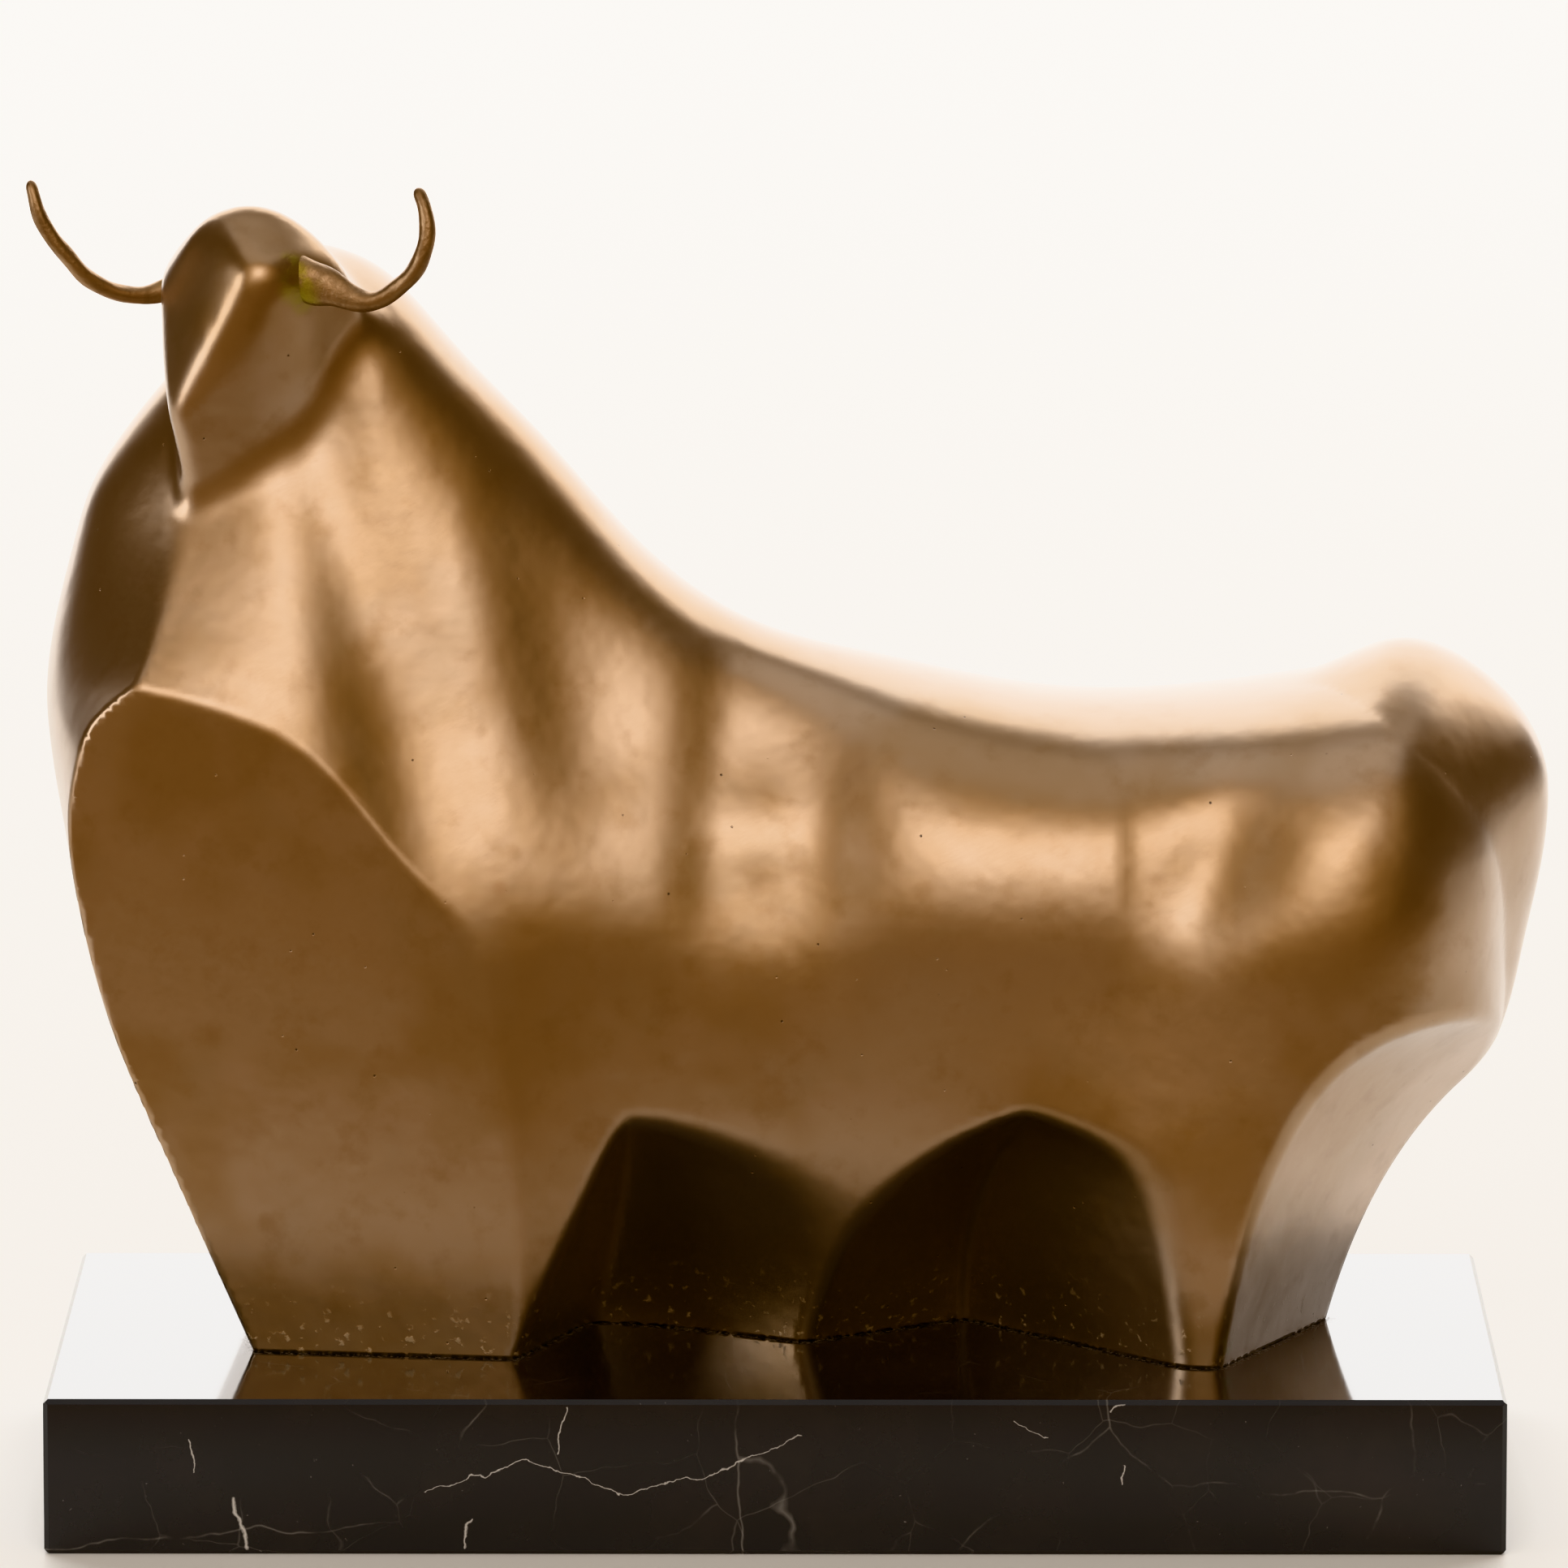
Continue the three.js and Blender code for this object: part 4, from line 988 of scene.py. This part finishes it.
def marble_material(settings):
    """Black marble, sawn and polished: near black with grey clouds, hairline white veins and small flecks.

    Pale dust lies on it around the bull's foot.
    """
    material, tree, shader, place = new_material("polished_black_marble")
    finish = Finish(tree, (*settings.stone, 1), 0.07, 0.0)
    shader.inputs["IOR"].default_value = 1.55
    finish.layer(blotches(tree, place, 28, 0.4, 0.75, detail=6.0, seed=21.0), 0.6, colour="#2c2a2b")

    bent = add(tree, "ShaderNodeTexNoise", {"Vector": place, "Scale": 1 / 22, "Detail": 3.0})
    centred = add(
        tree, "ShaderNodeVectorMath", {0: bent.outputs["Color"], 1: (0.5, 0.5, 0.5)}, operation="SUBTRACT",
    )
    wander = add(
        tree, "ShaderNodeVectorMath", {0: centred.outputs["Vector"], 1: (9, 9, 9), 2: place},
        operation="MULTIPLY_ADD",
    ).outputs["Vector"]
    for size, thin, strength, seed in ((70, 0.005, 0.22, 22.0), (34, 0.006, 0.12, 23.0)):
        cells = add(
            tree, "ShaderNodeTexVoronoi", {"Vector": wander, "Scale": 1 / size}, feature="DISTANCE_TO_EDGE",
        )
        hair = add(
            tree, "ShaderNodeMapRange", {"Value": cells.outputs["Distance"], "From Min": thin, "From Max": 0},
        ).outputs["Result"]
        broken = blotches(tree, place, 20, 0.45, 0.65, detail=5.0, seed=seed)
        vein = add(tree, "ShaderNodeMath", {0: hair, 1: broken}, operation="MULTIPLY").outputs["Value"]
        finish.layer(vein, strength, colour="#b9b6b2")
    ragged = add(tree, "ShaderNodeTexNoise", {"Vector": place, "Scale": 1 / 6, "Detail": 6.0})
    ragged = add(
        tree, "ShaderNodeVectorMath", {0: ragged.outputs["Color"], 1: (0.5, 0.5, 0.5)}, operation="SUBTRACT",
    )
    shaken = add(
        tree, "ShaderNodeVectorMath",
        {0: ragged.outputs["Vector"], 1: (VEIN_WANDER, 0, VEIN_WANDER), 2: place}, operation="MULTIPLY_ADD",
    ).outputs["Vector"]
    for thickness, *stops in VEINS:
        for (x0, z0), (x1, z1) in zip(stops, stops[1:]):
            vein = along_line(tree, shaken, (x0, FRONT_Y, z0), (x1, FRONT_Y, z1), thickness)
            finish.layer(vein, 0.9, colour="#c9c6c2")
    flecks = blotches(tree, place, 1.6, 0.7, 0.76, detail=3.0, seed=24.0)
    finish.layer(flecks, 0.5, colour="#8d8a88")

    foot = add(tree, "ShaderNodeAttribute", attribute_name="foot").outputs["Fac"]
    by_foot = add(tree, "ShaderNodeMapRange", {"Value": foot, "From Min": 4, "From Max": 0}).outputs["Result"]
    grains = blotches(tree, place, 0.9, 0.5, 0.6, detail=3.0, seed=25.0)
    dust = add(tree, "ShaderNodeMath", {0: by_foot, 1: grains}, operation="MULTIPLY").outputs["Value"]
    finish.layer(dust, 0.75, colour="#8a837a", roughness=0.7)
    finish.put_on(shader)
    return material


CARD_FRONT = (-180, -330)  # y between which the pale card fades into dark brown: painted shade on the floor in front


def floor_material(settings):
    """Pale matt card, which runs out into dark brown some way in front: painted shade on the floor, for the
    bronze to reflect.
    """
    material, tree, shader, place = new_material("pale_card_painted_shade")
    finish = Finish(tree, (*settings.floor, 1), 0.6, 0.0)
    ahead = add(tree, "ShaderNodeSeparateXYZ", {"Vector": place}).outputs["Y"]
    far = add(
        tree, "ShaderNodeMapRange", {"Value": ahead, "From Min": CARD_FRONT[0], "From Max": CARD_FRONT[1]},
        interpolation_type="SMOOTHSTEP",
    )
    # Painted shade: dark brown on the floor some way in front, which the bronze's lower faces reflect
    finish.layer(far.outputs["Result"], 1, colour="#866a48")
    finish.put_on(shader)
    return material


# Settings

class CastingSettings(bpy.types.PropertyGroup):
    """Sizes and colours of the bull."""
    cell: bpy.props.FloatProperty(
        name="Cell", description="Size of the faces that the surface is drawn with",
        default=1.85 * MM, min=1.5 * MM, unit="LENGTH", subtype="DISTANCE")
    golden: bpy.props.FloatVectorProperty(
        name="Golden bronze", description="Colour of the clean metal", default=linear("#ad9379"), size=3,
        min=0, max=1, subtype="COLOR")
    roughness: bpy.props.FloatProperty(
        name="Roughness", description="Roughness of the rubbed metal", default=0.31, min=0, max=1,
        subtype="FACTOR")


class HornSettings(bpy.types.PropertyGroup):
    """Fineness, shape and colour of the horns."""
    rings: bpy.props.IntProperty(name="Rings", description="Rings along a horn", default=90, min=12)
    sides: bpy.props.IntProperty(name="Sides", description="Points around a horn", default=28, min=8)
    unevenness: bpy.props.FloatProperty(
        name="Unevenness", description="Share of the radius that the hammering takes or adds", default=0.05,
        min=0)
    dull: bpy.props.FloatVectorProperty(
        name="Dull bronze", description="Colour of the rod", default=linear("#9a7f63"), size=3, min=0, max=1,
        subtype="COLOR")


class SlabSettings(bpy.types.PropertyGroup):
    """Sizes and colour of the slab."""
    bevel: bpy.props.FloatProperty(
        name="Bevel", description="Width of the edge's bevel", default=1.2 * MM, unit="LENGTH",
        subtype="DISTANCE")
    spacing: bpy.props.FloatProperty(
        name="Spacing", description="Distance of the grid lines", default=2.2 * MM, unit="LENGTH",
        subtype="DISTANCE")
    stone: bpy.props.FloatVectorProperty(
        name="Stone", description="Colour of the black stone", default=linear("#1e2024"), size=3, min=0, max=1,
        subtype="COLOR")


class StageSettings(bpy.types.PropertyGroup):
    """Floor and lights."""
    floor: bpy.props.FloatVectorProperty(
        name="Floor", description="Colour of the floor", default=linear("#f4f3f0"), size=3, min=0, max=1,
        subtype="COLOR")
    floor_side: bpy.props.FloatProperty(
        name="Floor side", description="Side of the floor", default=12, unit="LENGTH", subtype="DISTANCE")
    backlight: bpy.props.FloatProperty(
        name="Backlight", description="Brightness of the large panel behind", default=3.1, min=0)
    softbox: bpy.props.FloatProperty(
        name="Softbox", description="Brightness of the softbox at the camera, at its edge", default=0.55, min=0)
    softbox_middle: bpy.props.FloatProperty(
        name="Softbox middle", description="Brightness that its middle has more", default=0.8, min=0)
    softbox_core: bpy.props.FloatProperty(
        name="Softbox core", description="Brightness that its core has more", default=2.7, min=0)
    wall: bpy.props.FloatProperty(
        name="Wall", description="Brightness of the studio wall around the softbox", default=0.43, min=0)
    ceiling: bpy.props.FloatProperty(
        name="Ceiling", description="Brightness of the ceiling", default=0.8, min=0)
    strip: bpy.props.FloatProperty(
        name="Strip", description="Brightness of the narrow panel at the bull's face", default=6.0, min=0)
    side_light: bpy.props.FloatProperty(
        name="Side light", description="Brightness of the panel at the bull's rump", default=1.6, min=0)


# Lights: direction seen from the bull in degrees, distance and size in metres. 0 is to the camera, 90 to +X.
PANELS = {
    "backlight": dict(turn=180, up=32, away=3.2, size=(5.8, 4.2)),
    "softbox": dict(turn=-2, up=29, away=3.2, size=(3.3, 2.7), colour="#fff0dc"),
    "softbox_middle": dict(turn=-2, up=29, away=3.0, size=(2.1, 1.7), colour="#fffaf4"),
    "softbox_core": dict(turn=-2, up=29, away=2.8, size=(1.0, 0.85), colour="#f0f6ff"),
    "wall": dict(turn=0, up=28, away=3.8, size=(7, 4.3), colour="#ffdcae"),
    "ceiling": dict(turn=0, up=78, away=2.4, size=(3, 1.6)),
    "strip": dict(turn=-60, up=10, away=2.2, size=(0.6, 1.0)),
    "side_light": dict(turn=124, up=30, away=2.8, size=(0.9, 1.4), colour="#fff4e6"),
}
LIT_POINT = Vector((0, 0, 0.15))


def add_panel(scene, name, turn, up, away, size, radiance, colour="#ffffff"):
    """Soft rectangular light that faces the bull; its power follows from its brightness and its area."""
    turn, up = math.radians(turn), math.radians(up)
    direction = Vector((math.sin(turn) * math.cos(up), -math.cos(turn) * math.cos(up), math.sin(up)))
    light = bpy.data.lights.new(name, "AREA")
    light.shape = "RECTANGLE"
    light.size, light.size_y = size
    light.energy = radiance * math.pi * size[0] * size[1]
    light.color = linear(colour)
    lamp = bpy.data.objects.new(name, light)
    lamp.location = LIT_POINT + away * direction
    lamp.rotation_euler = direction.to_track_quat("Z", "Y").to_euler()
    scene.collection.objects.link(lamp)


# Operators

class BULL_OT_casting(bpy.types.Operator):
    """Builds the bull's bronze casting"""
    bl_idname = "bull.casting"
    bl_label = "Bull casting"

    def execute(self, context):
        settings = context.scene.bull_casting
        points, faces, sole = surface_mesh(bull, BULL_LOW, BULL_HIGH, settings.cell / MM, GROUND)
        normals = slope_of(bull, points, NORMAL_REACH)
        normals[sole] = (0, 0, -1)
        normals /= np.linalg.norm(normals, axis=1, keepdims=True)
        piece = make_object("bull_bronze", points, faces, bronze_material(settings), normals)
        around = sum(
            in_blocks(bull, points + side * HOLLOW_REACH * np.eye(3)[axis])
            for axis in range(3) for side in (-1, 1)
        )
        bend = (around - 6 * in_blocks(bull, points)) / HOLLOW_REACH ** 2
        set_attribute(piece, "hollow", np.where(sole, 0, -bend))
        stand_for(piece, "bull_casting")
        return {"FINISHED"}


class BULL_OT_horns(bpy.types.Operator):
    """Builds both horns"""
    bl_idname = "bull.horns"
    bl_label = "Horns"

    def execute(self, context):
        settings = context.scene.bull_horns
        material = horn_material(settings)
        for name, stops in (("near_horn", NEAR_HORN), ("far_horn", FAR_HORN)):
            points, faces = horn_mesh(stops, settings.rings, settings.sides, settings.unevenness)
            mesh = bpy.data.meshes.new(name)
            mesh.from_pydata((points * MM).tolist(), [], faces)
            mesh.shade_smooth()
            mesh.materials.append(material)
            piece = bpy.data.objects.new(f"{name}_rod", mesh)
            context.scene.collection.objects.link(piece)
            stand_for(piece, name)
        return {"FINISHED"}


class BULL_OT_slab(bpy.types.Operator):
    """Builds the marble slab"""
    bl_idname = "bull.slab"
    bl_label = "Marble slab"

    def execute(self, context):
        settings = context.scene.bull_slab
        size = SLAB_HIGH - SLAB_LOW
        points, faces = slab_mesh(size, settings.bevel / MM, settings.spacing / MM)
        points += np.array((SLAB_LOW + SLAB_HIGH) / 2)
        piece = make_object("marble_block", points, faces, marble_material(settings))
        piece.data.polygons.foreach_set("use_smooth", np.zeros(len(faces), bool))
        just_over = points.copy()
        just_over[:, 2] = GROUND + FOOT_OVER
        set_attribute(piece, "foot", in_blocks(trunk, just_over))
        stand_for(piece, "marble_slab")
        return {"FINISHED"}


class BULL_OT_stage(bpy.types.Operator):
    """Sets up the floor, the studio lights and the camera"""
    bl_idname = "bull.stage"
    bl_label = "Stage"

    def execute(self, context):
        scene = context.scene
        settings = scene.bull_stage
        half = settings.floor_side / 2 / MM
        corners = np.array([(-half, -half, 0), (half, -half, 0), (half, half, 0), (-half, half, 0)])
        floor = make_object("floor", corners, np.array([[0, 1, 2, 3]]), floor_material(settings))

        world = bpy.data.worlds.new("dark_studio")
        world.use_nodes = True
        world.node_tree.nodes["Background"].inputs["Color"].default_value = (*linear("#655039"), 1)
        scene.world = world
        for name, panel in PANELS.items():
            add_panel(scene, name, **panel, radiance=getattr(settings, name))

        lens = bpy.data.cameras.new("camera")
        lens.sensor_width = SENSOR_MM
        lens.lens = LENS_PIXELS / PHOTO_SIDE * SENSOR_MM
        lens.clip_end = 50
        camera = bpy.data.objects.new("camera", lens)
        camera.location = CAMERA_PLACE
        camera.rotation_euler = (math.pi / 2 - CAMERA_DOWN, 0, CAMERA_TURN)
        scene.collection.objects.link(camera)
        scene.camera = camera
        scene.view_settings.view_transform = "Khronos PBR Neutral"
        return {"FINISHED"}


class BULL_PT_sidebar(bpy.types.Panel):
    """Settings and a button for each piece"""
    bl_label = "Bronze bull"
    bl_idname = "BULL_PT_sidebar"
    bl_space_type = "VIEW_3D"
    bl_region_type = "UI"
    bl_category = "Bull"

    def draw(self, context):
        for operator, group in PIECES.items():
            box = self.layout.box()
            settings = getattr(context.scene, group)
            for name in settings.bl_rna.properties.keys():
                if name not in ("rna_type", "name"):
                    box.prop(settings, name)
            box.operator(operator)


# Each operator with its settings, in the order they are run
PIECES = {
    "bull.casting": "bull_casting",
    "bull.horns": "bull_horns",
    "bull.slab": "bull_slab",
    "bull.stage": "bull_stage",
}
GROUPS = {
    "bull_casting": CastingSettings,
    "bull_horns": HornSettings,
    "bull_slab": SlabSettings,
    "bull_stage": StageSettings,
}
CLASSES = (*GROUPS.values(), BULL_OT_casting, BULL_OT_horns, BULL_OT_slab, BULL_OT_stage, BULL_PT_sidebar)


def register():
    for cls in CLASSES:
        bpy.utils.register_class(cls)
    for name, group in GROUPS.items():
        setattr(bpy.types.Scene, name, bpy.props.PointerProperty(type=group))


def unregister():
    for name in GROUPS:
        delattr(bpy.types.Scene, name)
    for cls in reversed(CLASSES):
        bpy.utils.unregister_class(cls)


def main():
    register()
    bpy.ops.bull.casting()
    bpy.ops.bull.horns()
    bpy.ops.bull.slab()
    bpy.ops.bull.stage()


if __name__ == "__main__":
    main()
